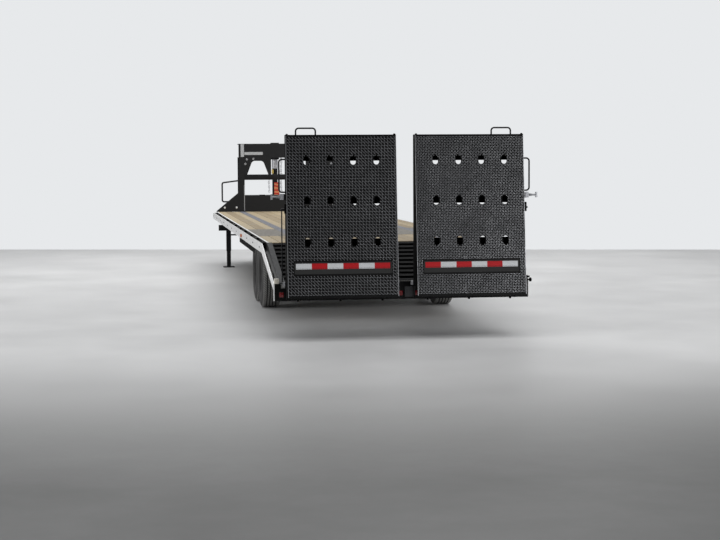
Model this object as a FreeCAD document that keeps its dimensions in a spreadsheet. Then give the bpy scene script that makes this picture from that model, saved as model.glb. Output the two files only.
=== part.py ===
import FreeCAD, Part
import math
import os
import re
import Sketcher

# Gooseneck flatbed trailer with a dovetail and two stand-up ramps.
# Frame: +Y forwards (the way it is towed), +X to its right, +Z up, in mm.
# The origin is under the middle of the whole trailer, on the ground.

doc = FreeCAD.newDocument("flatbed_trailer")
sheet = doc.addObject("Spreadsheet::Sheet", "Sizes")

# Driving dimensions: name, value, what it is
DRIVING = [
    ("overall_width", 2591, "over the rub rails, 102 in"),
    ("deck_length", 10668, "level deck, 35 ft"),
    ("dovetail_length", 1524, "sloping tail, 5 ft"),
    ("dovetail_drop", 326, "end of the dovetail below the deck"),
    ("beam_inset", 433.5, "main beam's middle inside the side channel"),
    ("beam_depth", 305, "12 in I-beam"),
    ("beam_flange", 100, "width of its flanges"),
    ("flange_thickness", 12, "their thickness"),
    ("beam_web", 8, "thickness of its web"),
    ("member_depth", 76, "cross member, 3 in channel"),
    ("member_width", 38, "its flanges"),
    ("member_wall", 5, "its wall"),
    ("member_pitch", 406, "16 in from one to the next"),
    ("side_depth", 127, "side channel, 5 in"),
    ("side_wall", 8, "its wall"),
    ("side_lip", 25, "its top flange, flush with the deck"),
    ("side_foot", 45, "its bottom flange"),
    ("rail_gap", 50, "side channel to rub rail"),
    ("rail_thickness", 10, "rub rail"),
    ("rail_height", 100, "rub rail along the deck"),
    ("rail_tail_height", 62, "rub rail along the dovetail"),
    ("rail_drop", 10, "its top below the deck"),
    ("rail_end", 30, "upright end of the rail at the tail"),
    ("pocket_pitch", 1016, "stake pockets, 40 in apart"),
    ("pocket_opening", 60, "stake pocket along the rail"),
    ("pocket_plate", 8, "cheeks of a stake pocket"),
    ("plank_thickness", 38, "deck planks"),
    ("plank_gap", 4, "between planks"),
    ("middle_planks", 11, "between the main beams"),
    ("outer_planks", 3, "outside each main beam"),
    ("cover_length", 1880, "steel plate over the wheels"),
    ("cover_thickness", 6, "its thickness"),
    ("cover_rib", 50, "angle bars under it"),
    ("rear_axle_place", 3560, "rear axle ahead of the tail"),
    ("axle_spacing", 876, "34.5 in between the axles"),
    ("wheel_inset", 190.5, "wheel's middle inside the side channel"),
    ("tyre_radius", 391, "235/80 R16 tyre"),
    ("tyre_width", 235, "over its side walls"),
    ("tread_width", 190, "of the tyre"),
    ("groove_place", 32, "grooves from the tyre's middle"),
    ("groove_width", 8, "groove"),
    ("groove_depth", 9, "groove"),
    ("shoulder_drop", 6, "tread edge below the middle"),
    ("rim_radius", 208, "bead seat of a 16 in wheel"),
    ("rim_width", 180, "over its flanges"),
    ("spindle_radius", 24, "stub axle in the hub"),
    ("axle_radius", 38, "axle tube, 3 in"),
    ("brake_radius", 150, "brake backing plate"),
    ("backing_thickness", 12, "its thickness"),
    ("brake_room", 20, "backing plate to rim"),
    ("spindle_reach", 40, "spindle beyond the wheel's middle"),
    ("seat_length", 120, "spring seat"),
    ("spring_seat", 14, "seat above the axle tube"),
    ("hanger_height", 38, "spring end to main beam"),
    ("hanger_length", 60, "outer hangers"),
    ("hanger_side", 8, "hanger wider than the spring, each side"),
    ("spring_width", 60, "leaf spring"),
    ("spring_leaf", 10, "one leaf"),
    ("spring_leaves", 4, "leaves in a pack"),
    ("spring_length", 640, "eye to eye"),
    ("spring_arch", 50, "rise of the bow"),
    ("dovetail_bar_count", 10, "cross bars"),
    ("bar_leg", 75, "top leg of a bar"),
    ("bar_depth", 50, "upright leg of a bar"),
    ("bar_wall", 8, "its wall"),
    ("bar_margin", 30, "first bar behind the deck"),
    ("dovetail_flange", 55, "top flange of its side members"),
    ("dovetail_beam_width", 20, "inner beams of the dovetail"),
    ("bumper_drop", 180, "bumper's bottom below the dovetail's end"),
    ("bumper_height", 120, "rear bumper"),
    ("bumper_depth", 100, "front to back"),
    ("bumper_face", 32, "its rear wall, which holds the lamps"),
    ("bumper_wall", 8, "its other walls"),
    ("lamp_inset", 41, "tail lamp from the bumper's end"),
    ("lamp_width", 54, "tail lamp"),
    ("lamp_height", 62, "tail lamp"),
    ("lamp_depth", 24, "its pocket in the bumper"),
    ("marker_size", 44, "small middle lamps"),
    ("marker_pitch", 200, "one to the next"),
    ("hinge_setback", 100, "ramp hinge behind the tail"),
    ("hinge_rise", 12, "ramp hinge above the dovetail's line"),
    ("pin_radius", 15, "ramp hinge pin"),
    ("pin_clearance", 0.6, "in the ramp's eye"),
    ("pin_end", 6, "pin beyond the ramp's side"),
    ("eye_radius", 32, "ramp eye"),
    ("lug_thickness", 12, "hinge lug on the bumper"),
    ("lug_clearance", 3, "lug to ramp side"),
    ("ramp_gap", 188, "between the two ramps"),
    ("ramp_inset", 51.5, "ramp's outer side inside the side channel"),
    ("ramp_height", 1590, "an upright ramp"),
    ("ramp_fall", 121, "its lower edge below the hinge"),
    ("ramp_deep_end", 270, "ramp thickness at the hinge"),
    ("ramp_thin_end", 112, "ramp thickness at the tip"),
    ("tread_plate", 6, "tread plate of a ramp"),
    ("ramp_side", 8, "side plates and ribs"),
    ("ramp_sole", 30, "side plates below the hinge"),
    ("ramp_heel", 24, "heel that carries the tread plate"),
    ("rib_margin", 120, "outer ribs from the ramp's sides"),
    ("rib_toe", 20, "ribs below the tread plate"),
    ("rung_size", 40, "legs of the angle bar rungs"),
    ("rung_wall", 6, "their wall"),
    ("rung_pitch", 212, "one rung to the next"),
    ("first_rung", 185, "above the hinge"),
    ("rung_count", 6, "rungs between the end bars"),
    ("hole_width", 54, "obround hole in the tread plate"),
    ("hole_height", 88, "the hole's height"),
    ("hole_pitch", 230, "one column to the next"),
    ("hole_columns", 4, "holes in a row"),
    ("hole_rows", 3, "rows of holes"),
    ("row_pitch", 400, "one row to the next"),
    ("first_row", 547, "lowest row above the lower edge"),
    ("tape_margin", 66, "window for the tape, from the ramp's sides"),
    ("tape_height", 117, "its height"),
    ("tape_place", 293, "its middle above the lower edge"),
    ("tape_panel", 3, "panel behind the window"),
    ("panel_lap", 10, "panel beyond the window, all round"),
    ("handle_rod", 8, "radius of the handle rods"),
    ("handle_reach", 66, "handles stand out"),
    ("handle_bend", 30, "bend radius of the rods"),
    ("top_handle_width", 195, "handle on the top edge"),
    ("top_handle_inset", 206, "its middle from the outer edge"),
    ("side_handle_height", 320, "handle on the outer side"),
    ("side_handle_place", 1071, "its middle above the hinge"),
    ("handle_setback", 90, "handle and latches behind the rungs"),
    ("latch_place", 866, "latch above the hinge"),
    ("latch_size", 56, "latch housing"),
    ("latch_rod", 9, "radius of the latch rod"),
    ("latch_reach", 148, "latch rod beyond the ramp"),
    ("prop_place", 743, "catch above the hinge"),
    ("catch_height", 90, "plate of the catch"),
    ("catch_reach", 50, "catch rod beyond the ramp"),
    ("prop_rod", 6, "radius of the prop that hangs from the left catch"),
    ("prop_end", 30, "its lower end above the hinge"),
    ("jack_setback", 1108, "jacks behind the deck's front end"),
    ("jack_inset", 135.5, "jack's middle inside the side channel"),
    ("jack_tube", 76, "outer tube, square"),
    ("jack_inner", 64, "inner leg, square"),
    ("jack_tube_bottom", 270, "lower end of the outer tube"),
    ("jack_foot", 178, "foot plate"),
    ("foot_thickness", 16, "foot plate"),
    ("jack_room", 284, "above the leg inside the tube"),
    ("jack_cap", 8, "closed top of the tube"),
    ("jack_shaft", 12, "radius of the shaft between the jacks"),
    ("shaft_drop", 40, "shaft below the main beams"),
    ("shaft_offset", 22, "shaft ahead of the jacks' middle"),
    ("brace_height", 110, "plates from the beams to the jacks"),
    ("brace_thickness", 12, "these plates"),
    ("brace_lift", 20, "above the beams' lower flange"),
    ("gearbox_width", 122, "gearbox of the left jack's crank"),
    ("gearbox_height", 92, "its height"),
    ("gearbox_length", 90, "its length"),
    ("neck_rise", 1157, "top of the neck above the deck"),
    ("neck_depth", 240, "depth of the neck beams"),
    ("riser_depth", 300, "riser, front to back"),
    ("neck_reach", 2750, "deck's front end to the coupler"),
    ("neck_nose", 160, "half width of the nose plate"),
    ("nose_thickness", 12, "nose plate"),
    ("neck_flange", 80, "flanges of the beam across the neck"),
    ("cross_bar_drop", 376, "bar between the risers, below the neck"),
    ("cross_bar_height", 78, "its height"),
    ("cross_bar_depth", 50, "front to back"),
    ("arch_plate", 12, "arched plates under the neck"),
    ("arch_reach", 455, "their width, in from the riser"),
    ("arch_margin", 33, "beside the riser"),
    ("arch_width", 364, "foot of the arch"),
    ("arch_height", 250, "height of the arch"),
    ("arch_radius", 100, "its top corners"),
    ("sleeve_size", 150, "square sleeve of the coupler"),
    ("sleeve_drop", 160, "below the neck beams"),
    ("sleeve_rise", 40, "above the neck beams"),
    ("coupler_radius", 50, "coupler tube"),
    ("coupler_bottom", 990, "lower end of the coupler"),
    ("head_radius", 68, "coupler head"),
    ("head_height", 120, "coupler head"),
    ("ball_bore", 30.2, "radius of the socket for a 2 5/16 in ball"),
    ("ball_depth", 70, "depth of the socket"),
    ("box_depth", 500, "toolbox, front to back"),
    ("box_rise", 274, "toolbox lid's top above the deck"),
    ("box_height", 510, "toolbox"),
    ("box_wall", 5, "toolbox sheet"),
    ("lid_thickness", 20, "depth of the lid's tray"),
    ("lid_side_gap", 6, "lid to riser"),
    ("lid_rear_gap", 2, "lid in from the box's rear face"),
    ("hasp_place", 455, "hasp left of the middle"),
    ("hasp_width", 94, "hasp"),
    ("hasp_depth", 26, "hasp"),
    ("hasp_height", 14, "hasp above the lid"),
    ("wing_thickness", 8, "wing plates beside the risers"),
    ("wing_height", 332, "above the deck at the riser"),
    ("wing_tip", 16, "above the deck at the outer end"),
    ("grab_radius", 13, "grab handle rod"),
    ("grab_inset", 100, "rod's middle inside the side channel"),
    ("grab_foot", 112, "its foot, in front of the wing plate"),
    ("grab_rise", 530, "its top above the deck"),
    ("grab_fall", 35, "the rod slopes down outwards"),
    ("grab_foot_rise", 171, "its foot above the deck"),
    ("skirt_length", 2600, "skirt over the wheels"),
    ("skirt_height", 66, "below the rub rail"),
    ("skirt_thickness", 6, "its thickness"),
    ("chain_link", 58, "length of a chain link"),
    ("chain_wire", 11, "thickness of a link"),
    ("chain_links", 9, "links in a chain"),
    ("fit", 0.3, "clearance between round or sliding faces"),
    ("over", 1, "cuts run past a face"),
]

# Sizes worked out from them
WORKED = [
    ("rear_reach", "hinge_setback + ramp_deep_end"),
    ("front_reach", "dovetail_length + deck_length + neck_reach + sleeve_size / 2"),
    ("tail_y", "(rear_reach - front_reach) / 2"),
    ("bend_y", "tail_y + dovetail_length"),
    ("front_y", "bend_y + deck_length"),
    ("coupler_y", "front_y + neck_reach"),
    ("hinge_y", "tail_y - hinge_setback"),
    ("slope", "dovetail_drop / dovetail_length"),
    ("leaf_foot", "tyre_radius + axle_radius + spring_seat"),
    ("spring_end", "leaf_foot + spring_leaves * spring_leaf + spring_arch"),
    ("beam_bottom", "spring_end + hanger_height"),
    ("deck_height", "beam_bottom + beam_depth"),
    ("tail_height", "deck_height - dovetail_drop"),
    ("hinge_z", "tail_height - slope * hinge_setback + hinge_rise"),
    ("side_x", "overall_width / 2 - rail_thickness - rail_gap"),
    ("beam_x", "side_x - beam_inset"),
    ("rail_x", "overall_width / 2 - rail_thickness"),
    ("rail_top", "deck_height - rail_drop"),
    ("rail_tail_top", "tail_height - rail_drop"),
    ("plank_bottom", "deck_height - plank_thickness"),
    ("member_bottom", "plank_bottom - member_depth"),
    ("bumper_bottom", "tail_height - bumper_drop"),
    ("bumper_top", "bumper_bottom + bumper_height"),
    ("rear_axle_y", "tail_y + rear_axle_place"),
    ("front_axle_y", "rear_axle_y + axle_spacing"),
    ("bogie_y", "rear_axle_y + axle_spacing / 2"),
    ("cover_start", "bogie_y - cover_length / 2"),
    ("cover_end", "bogie_y + cover_length / 2"),
    ("wheel_x", "side_x - wheel_inset"),
    ("middle_width", "2 * beam_x - beam_flange"),
    ("middle_plank", "(middle_width + plank_gap) / middle_planks - plank_gap"),
    ("outer_width", "side_x - side_lip - beam_x - beam_flange / 2"),
    ("outer_plank", "(outer_width + plank_gap) / outer_planks - plank_gap"),
    ("jack_y", "front_y - jack_setback"),
    ("jack_x", "side_x - jack_inset"),
    ("neck_top", "deck_height + neck_rise"),
    ("neck_bottom", "neck_top - neck_depth"),
    ("cross_bar_bottom", "neck_bottom - cross_bar_drop"),
    ("riser_inner", "beam_x - beam_flange / 2"),
    ("riser_outer", "beam_x + beam_flange / 2"),
    ("ramp_inner", "ramp_gap / 2"),
    ("ramp_outer", "side_x - ramp_inset"),
    ("ramp_width", "ramp_outer - ramp_inner"),
    ("ramp_x", "ramp_inner + ramp_width / 2"),
    ("ramp_bottom", "hinge_z - ramp_fall"),
    ("ramp_top", "ramp_bottom + ramp_height"),
    ("ramp_taper", "(ramp_deep_end - ramp_thin_end) / ramp_height"),
    ("rib_place", "ramp_width / 2 - rib_margin"),
    ("tape_width", "ramp_width - 2 * tape_margin"),
    ("arch_inner", "riser_inner - arch_reach"),
    ("box_top", "deck_height + box_rise"),
    ("box_bottom", "box_top - box_height"),
    ("grab_x", "side_x - grab_inset"),
    ("grab_top", "deck_height + grab_rise"),
    ("grab_bottom", "deck_height + grab_foot_rise"),
]

for row, (name, value, note) in enumerate(DRIVING, start=1):
    sheet.set("A%d" % row, name)
    sheet.set("B%d" % row, str(value))
    sheet.set("C%d" % row, note)
    sheet.setAlias("B%d" % row, name)
for row, (name, formula) in enumerate(WORKED, start=len(DRIVING) + 2):
    sheet.set("A%d" % row, name)
    sheet.set("B%d" % row, "=" + formula)
    sheet.setAlias("B%d" % row, name)
doc.recompute()

NAMES = {name for name, *rest in DRIVING} | {name for name, *rest in WORKED}
nodes = []


def size(name):
    """Value of a named size, in mm."""
    return float(sheet.get(name))


def in_sheet(formula):
    """The formula with each named size looked up in the sheet."""
    def look_up(word):
        name = word.group()
        return "Sizes." + name if name in NAMES else name
    return re.sub(r"[a-z_][a-z_0-9]*", look_up, str(formula))


def bind(thing, **formulas):
    for prop, formula in formulas.items():
        thing.setExpression(prop.replace("__", "."), in_sheet(formula))


def put(thing, at):
    """Bind where a thing stands."""
    for axis, formula in zip("xyz", at):
        thing.setExpression("Placement.Base." + axis, in_sheet(formula))


def block(name, at, across, along, up):
    """Box with its low corner at a place."""
    box = doc.addObject("Part::Box", name)
    bind(box, Length=across, Width=along, Height=up)
    put(box, at)
    return box


def rod(name, at, radius, length, axis="Z"):
    """Round bar from a place along an axis."""
    turn = {"X": FreeCAD.Rotation(FreeCAD.Vector(0, 1, 0), 90),
            "Y": FreeCAD.Rotation(FreeCAD.Vector(1, 0, 0), -90),
            "Z": FreeCAD.Rotation()}[axis]
    bar = doc.addObject("Part::Cylinder", name)
    bar.Placement = FreeCAD.Placement(FreeCAD.Vector(), turn)
    bind(bar, Radius=radius, Height=length)
    put(bar, at)
    return bar


def fuse(name, pieces):
    joined = doc.addObject("Part::MultiFuse", name)
    joined.Shapes = pieces
    return joined


def cut(name, base, tool):
    left = doc.addObject("Part::Cut", name)
    left.Base = base
    left.Tool = tool
    return left


def group(name, pieces):
    """Like pieces that don't touch, in one node."""
    together = doc.addObject("Part::Compound", name)
    together.Links = pieces
    return together


def node(thing, name):
    """Name a finished sub-part, which also names its file."""
    thing.Label = name
    nodes.append(thing)
    return thing


def plane(body, role):
    for feature in body.Origin.OriginFeatures:
        if feature.Role == role:
            return feature


def outline(body, name, role, corners, lift="0"):
    """Closed sketch through corners given as pairs of formulas."""
    sketch = body.newObject("Sketcher::SketchObject", name)
    sketch.AttachmentSupport = (plane(body, role), [""])
    sketch.MapMode = "FlatFace"
    sketch.setExpression("AttachmentOffset.Base.z", in_sheet(lift))
    guess = [sheet_values(pair) for pair in corners]
    last = len(corners) - 1
    for i, start in enumerate(guess):
        end = guess[0 if i == last else i + 1]
        sketch.addGeometry(Part.LineSegment(start, end), False)
    for i in range(len(corners)):
        following = 0 if i == last else i + 1
        sketch.addConstraint(Sketcher.Constraint("Coincident", i, 2, following, 1))
    for i, (across, up) in enumerate(corners):
        for kind, formula, value in (("DistanceX", across, guess[i].x),
                                     ("DistanceY", up, guess[i].y)):
            index = sketch.addConstraint(Sketcher.Constraint(kind, -1, 1, i, 1, value))
            sketch.setExpression("Constraints[%d]" % index, in_sheet(formula))
    return sketch


def sheet_values(formulas):
    """Present values of two or three formulas, as a point."""
    values = [float(sheet.evalExpression(in_sheet(formula))) for formula in formulas]
    return FreeCAD.Vector(*values)


def plate(name, role, corners, thickness, lift="0"):
    """Body padded from an outline. YZ_Plane pads along +X, XZ_Plane along -Y, XY_Plane along +Z."""
    body = doc.addObject("PartDesign::Body", name)
    sketch = outline(body, name + "_outline", role, corners, lift)
    pad = body.newObject("PartDesign::Pad", name + "_pad")
    pad.Profile = sketch
    bind(pad, Length=thickness)
    sketch.Visibility = False
    return body


# Main beams: two I-beams the length of the deck, pierced by the cross members
def beam_section(name, x, start, length, depth):
    """I-beam along +Y whose top is the deck's."""
    half = "beam_flange / 2"
    web = "beam_web / 2"
    low = "deck_height - %s" % depth
    corners = [
        (x + " - " + half, low), (x + " + " + half, low),
        (x + " + " + half, low + " + flange_thickness"),
        (x + " + " + web, low + " + flange_thickness"),
        (x + " + " + web, "deck_height - flange_thickness"),
        (x + " + " + half, "deck_height - flange_thickness"),
        (x + " + " + half, "deck_height"), (x + " - " + half, "deck_height"),
        (x + " - " + half, "deck_height - flange_thickness"),
        (x + " - " + web, "deck_height - flange_thickness"),
        (x + " - " + web, low + " + flange_thickness"),
        (x + " - " + half, low + " + flange_thickness"),
    ]
    return plate(name, "XZ_Plane", corners, length, "-(%s + %s)" % (start, length))


def member_stations():
    """Formulas of where the cross members start, apart from the stretch over the wheels."""
    stations = []
    place = "bend_y + member_width"
    rear_end = size("cover_start") - size("member_width")
    front_end = size("front_y") - size("member_width") * 2
    count = 0
    while size("bend_y") + size("member_width") + count * size("member_pitch") < rear_end:
        stations.append(place + " + %d * member_pitch" % count)
        count += 1
    count = 0
    while size("cover_end") + size("member_width") + count * size("member_pitch") < front_end:
        stations.append("cover_end + member_width + %d * member_pitch" % count)
        count += 1
    return stations


STATIONS = member_stations()
pierced = []
for side, x in (("left", "-beam_x"), ("right", "beam_x")):
    beam = beam_section("beam_" + side, x, "bend_y", "deck_length", "beam_depth")
    holes = [block("hole_%s_%d" % (side, i), (x + " - beam_web", y, "member_bottom"),
                   "2 * beam_web", "member_width", "member_depth")
             for i, y in enumerate(STATIONS)]
    pierced.append(cut("pierced_" + side, beam, group("holes_" + side, holes)))
node(group("main_beams_group", pierced), "main_beams")

# Cross members: channels from side to side, open towards the tail
members = []
half = "(side_x - side_wall)"
for i, y in enumerate(STATIONS):
    bar = block("member_bar_%d" % i, ("-" + half, y, "member_bottom"), "2 * " + half, "member_width",
                "member_depth")
    inside = block("member_inside_%d" % i,
                   ("-%s - over" % half, y + " - member_wall", "member_bottom + member_wall"),
                   "2 * (%s + over)" % half, "member_width", "member_depth - 2 * member_wall")
    members.append(cut("member_%d" % i, bar, inside))
node(group("members", members), "cross_members")

# Side channels: the deck's edge, with a narrow lip flush with the planks
channels = []
for side, sign in (("left", "-"), ("right", "")):
    def across(formula, sign=sign):
        return "%s(%s)" % (sign or "+", formula)
    low = "deck_height - side_depth"
    corners = [
        (across("side_x"), low), (across("side_x"), "deck_height"),
        (across("side_x - side_lip"), "deck_height"),
        (across("side_x - side_lip"), "deck_height - cover_thickness"),
        (across("side_x - side_wall"), "deck_height - cover_thickness"),
        (across("side_x - side_wall"), low + " + side_wall"),
        (across("side_x - side_foot"), low + " + side_wall"),
        (across("side_x - side_foot"), low),
    ]
    channels.append(plate("side_channel_" + side, "XZ_Plane", corners, "deck_length", "-front_y"))
node(group("channels", channels), "side_channels")

# Headers: channels that close the deck at its front end and at the bend
low = "deck_height - side_depth"
header = fuse("front_header_parts", [
    block("front_web", ("-(side_x - side_wall)", "front_y - member_wall", low + " + side_wall"),
          "2 * (side_x - side_wall)", "member_wall", "side_depth - side_wall - plank_thickness"),
    block("front_foot", ("-middle_width / 2", "front_y - member_width", low + " + side_wall"),
          "middle_width", "member_width", "member_wall"),
])
beam_notch = [block("header_notch_" + side,
                    (x + " - beam_flange / 2 - over", "front_y - member_width - over", "0"),
                    "beam_flange + 2 * over", "member_width + 2 * over", "deck_height")
              for side, x in (("left", "-beam_x"), ("right", "beam_x"))]
node(cut("front_header_cut", header, group("header_notches", beam_notch)), "front_header")

# Deck: planks laid lengthways, level with the beams' top flanges
PLANK_ROWS = []
for i in range(int(size("middle_planks"))):
    PLANK_ROWS.append(("-middle_width / 2 + %d * (middle_plank + plank_gap)" % i, "middle_plank"))
for i in range(int(size("outer_planks"))):
    shift = "%d * (outer_plank + plank_gap)" % i
    PLANK_ROWS.append(("beam_x + beam_flange / 2 + " + shift, "outer_plank"))
    PLANK_ROWS.append(("-(beam_x + beam_flange / 2 + %s + outer_plank)" % shift, "outer_plank"))
for name, start, end in (("deck_boards_rear", "bend_y", "cover_start"),
                         ("deck_boards_front", "cover_end", "front_y")):
    planks = [block("%s_%d" % (name, i), (x, start, "plank_bottom"), width, "%s - %s" % (end, start),
                    "plank_thickness")
              for i, (x, width) in enumerate(PLANK_ROWS)]
    node(group(name + "_group", planks), name)

# Steel deck over the wheels: three plates flush with the beams, on angle bars
plates = []
for name, x, width in (("middle", "-middle_width / 2", "middle_width"),
                       ("left", "-(side_x - side_lip)", "outer_width"),
                       ("right", "beam_x + beam_flange / 2", "outer_width")):
    pieces = [block("cover_" + name, (x, "cover_start", "deck_height - cover_thickness"), width,
                    "cover_length", "cover_thickness")]
    for i, y in enumerate(("cover_start", "bogie_y - cover_thickness / 2", "cover_end - cover_thickness")):
        pieces.append(block("cover_rib_%s_%d" % (name, i), (x, y, "deck_height - cover_rib"), width,
                            "cover_thickness", "cover_rib"))
    plates.append(fuse("cover_plate_" + name, pieces))
node(group("cover_plates", plates), "wheel_cover_plates")

# Rub rails: flat bar outside each side, bent down along the dovetail to the bumper
rails = []
for side, x in (("left", "-(rail_x + rail_thickness)"), ("right", "rail_x")):
    corners = [
        ("front_y", "rail_top"), ("bend_y", "rail_top"), ("tail_y", "rail_tail_top"),
        ("tail_y", "bumper_bottom"), ("tail_y + rail_end", "bumper_bottom"),
        ("tail_y + rail_end", "rail_tail_top - rail_tail_height"),
        ("bend_y", "rail_top - rail_height"), ("front_y", "rail_top - rail_height"),
    ]
    rails.append(plate("rail_" + side, "YZ_Plane", corners, "rail_thickness", x))
node(group("rails", rails), "rub_rails")

# Stake pockets: pairs of cheeks between side channel and rub rail, with a block at the tail
cheeks = []
pocket_count = int((size("deck_length") - size("pocket_pitch") / 2) / size("pocket_pitch")) + 1
POCKETS = ["bend_y + pocket_pitch / 4 + %d * pocket_pitch" % i for i in range(pocket_count)]
for side, x in (("left", "-rail_x"), ("right", "side_x")):
    for i, y in enumerate(POCKETS):
        for edge, shift in (("rear", "-pocket_plate"), ("front", "pocket_opening")):
            cheeks.append(block("cheek_%s_%d_%s" % (side, i, edge),
                                (x, y + " + " + shift, "rail_top - rail_height"),
                                "rail_gap", "pocket_plate", "rail_height"))
    cheeks.append(block("tail_block_" + side, (x, "tail_y", "bumper_top"), "rail_gap", "rail_end",
                        "rail_tail_top - bumper_top"))
node(group("pockets", cheeks), "stake_pockets")

# Dovetail: two side members with a top flange, two inner beams under the cross bars
frames = []
for side, web_x, flange_x in (("left", "-side_x", "-side_x"),
                              ("right", "side_x - side_wall", "side_x - dovetail_flange")):
    web = plate("dovetail_web_" + side, "YZ_Plane", [
        ("tail_y", "bumper_top"), ("tail_y", "tail_height"), ("bend_y", "deck_height"),
        ("bend_y", "deck_height - side_depth"), ("tail_y + bumper_depth", "bumper_top"),
    ], "side_wall", web_x)
    flange = plate("dovetail_flange_" + side, "YZ_Plane", [
        ("tail_y", "tail_height - side_wall"), ("tail_y", "tail_height"), ("bend_y", "deck_height"),
        ("bend_y", "deck_height - side_wall"),
    ], "dovetail_flange", flange_x)
    frames.append(fuse("dovetail_side_" + side, [web, flange]))
for side, x in (("left", "-beam_x"), ("right", "beam_x")):
    frames.append(plate("dovetail_beam_" + side, "YZ_Plane", [
        ("tail_y + bumper_depth", "bumper_bottom + bumper_wall"),
        ("tail_y + bumper_depth", "tail_height + slope * bumper_depth - bar_depth / cos(atan(slope))"),
        ("bend_y", "deck_height - bar_depth / cos(atan(slope))"), ("bend_y", "beam_bottom"),
    ], "dovetail_beam_width", x + " - dovetail_beam_width / 2"))
node(group("dovetail_members", frames), "dovetail_frame")

# Cross bars of the dovetail: angle bars with gaps between them, for grip
bars = doc.addObject("PartDesign::Body", "dovetail_bar_row")
bar_outline = outline(bars, "bar_outline", "YZ_Plane", [
    ("0", "0"), ("-bar_leg", "0"), ("-bar_leg", "-bar_wall"), ("-bar_wall", "-bar_wall"),
    ("-bar_wall", "-bar_depth"), ("0", "-bar_depth"),
], "-(side_x - dovetail_flange)")
bar_pad = bars.newObject("PartDesign::Pad", "bar_pad")
bar_pad.Profile = bar_outline
bind(bar_pad, Length="2 * (side_x - dovetail_flange)")
bars.AllowCompound = True
doc.recompute()
bar_row = bars.newObject("PartDesign::LinearPattern", "bar_pattern")
bar_row.Originals = [bar_pad]
bar_row.Direction = (bar_outline, ["H_Axis"])
bar_row.Reversed = True
bar_row.Mode = "Spacing"
bind(bar_row, Offset="(dovetail_length / cos(atan(slope)) - bar_leg - 2 * bar_margin)"
                     " / (dovetail_bar_count - 1)")
bar_row.Occurrences = int(size("dovetail_bar_count"))
bars.Tip = bar_row
bars.Placement = FreeCAD.Placement(FreeCAD.Vector(), FreeCAD.Rotation(FreeCAD.Vector(1, 0, 0),
                                                                    math.degrees(math.atan(size("slope")))))
put(bars, ("0", "bend_y - bar_margin", "deck_height - slope * bar_margin"))
node(bars, "dovetail_bars")

# Rear bumper: channel with pockets for the lamps in its rear wall
LAMPS = [
    ("left", "-(rail_x - lamp_inset)", "lamp_width", "lamp_height"),
    ("middle_left", "-marker_pitch - marker_size / 2", "marker_size", "marker_size"),
    ("middle", "-marker_size / 2", "marker_size", "marker_size"),
    ("middle_right", "marker_pitch - marker_size / 2", "marker_size", "marker_size"),
    ("right", "rail_x - lamp_inset - lamp_width", "lamp_width", "lamp_height"),
]
channel = cut("bumper_channel",
              block("bumper_beam", ("-rail_x", "tail_y", "bumper_bottom"), "2 * rail_x", "bumper_depth",
                    "bumper_height"),
              block("bumper_inside",
                    ("-(rail_x - bumper_wall)", "tail_y + bumper_face", "bumper_bottom + bumper_wall"),
                    "2 * (rail_x - bumper_wall)", "bumper_depth", "bumper_height - 2 * bumper_wall"))
lamps = []
pockets = []
for name, x, width, height in LAMPS:
    z = "bumper_bottom + bumper_height / 2 - (%s) / 2" % height
    pockets.append(block("pocket_" + name, (x, "tail_y - over", z), width, "lamp_depth + over", height))
    lamps.append(block("lamp_" + name, (x + " + fit", "tail_y", z + " + fit"), width + " - 2 * fit",
                       "lamp_depth", height + " - 2 * fit"))
tail_edge = block("tail_edge", ("-(side_x - dovetail_flange)", "tail_y", "bumper_top"),
                  "2 * (side_x - dovetail_flange)", "rail_end", "tail_height - bumper_top")
bumper = fuse("bumper_parts", [cut("bumper_pocketed", channel, group("lamp_pockets", pockets)), tail_edge])
node(bumper, "rear_bumper")
node(group("lamp_group", lamps), "tail_lamps")

# Hinge lugs: plates welded to the bumper, each with the pin of one ramp eye
lugs = []
for name, x, inward in (("left_outer", "-ramp_outer", "+"), ("left_inner", "-ramp_inner", "-"),
                        ("right_inner", "ramp_inner", "+"), ("right_outer", "ramp_outer", "-")):
    lug_low = {"+": "ramp_side + lug_clearance",
               "-": "-(ramp_side + lug_clearance + lug_thickness)"}[inward]
    pin_low = {"+": "-pin_end", "-": "-(ramp_side + lug_clearance + lug_thickness)"}[inward]
    lug = plate("lug_" + name, "YZ_Plane", [
        ("tail_y", "bumper_bottom + 10"), ("tail_y", "bumper_bottom + bumper_height"),
        ("hinge_y + 8", "hinge_z + eye_radius - 8"), ("hinge_y - eye_radius + 10", "hinge_z"),
        ("hinge_y - 8", "hinge_z - eye_radius + 8"),
    ], "lug_thickness", "%s + %s" % (x, lug_low))
    boss = rod("lug_eye_" + name, ("%s + %s" % (x, lug_low), "hinge_y", "hinge_z"), "eye_radius - 4",
               "lug_thickness", "X")
    pin = rod("hinge_pin_" + name, ("%s + %s" % (x, pin_low), "hinge_y", "hinge_z"), "pin_radius",
              "ramp_side + lug_clearance + lug_thickness + pin_end", "X")
    lugs.append(fuse("hinge_lug_" + name, [lug, boss, pin]))
node(group("lug_group", lugs), "ramp_hinge_lugs")


# Ramps: frame of side plates, ribs and rungs, tread plate behind, rods for handles
def ramp_plate(name, x, thickness, toe):
    """Tapered upright plate of a ramp, in from the tread plate."""
    back = "hinge_y - ramp_deep_end + tread_plate"
    foot = [(back, "ramp_bottom")]
    if toe:
        foot.append((back, "ramp_bottom - " + toe))
    low = "ramp_bottom - %s" % (toe or "0")
    return plate(name, "YZ_Plane", [
        ("hinge_y", "hinge_z - ramp_sole"), ("hinge_y", "ramp_top"),
        ("hinge_y - ramp_thin_end + tread_plate", "ramp_top"), *foot, (back + " + ramp_heel", low),
        (back + " + ramp_heel + 8", "hinge_z - ramp_sole"),
    ], thickness, x)


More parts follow.
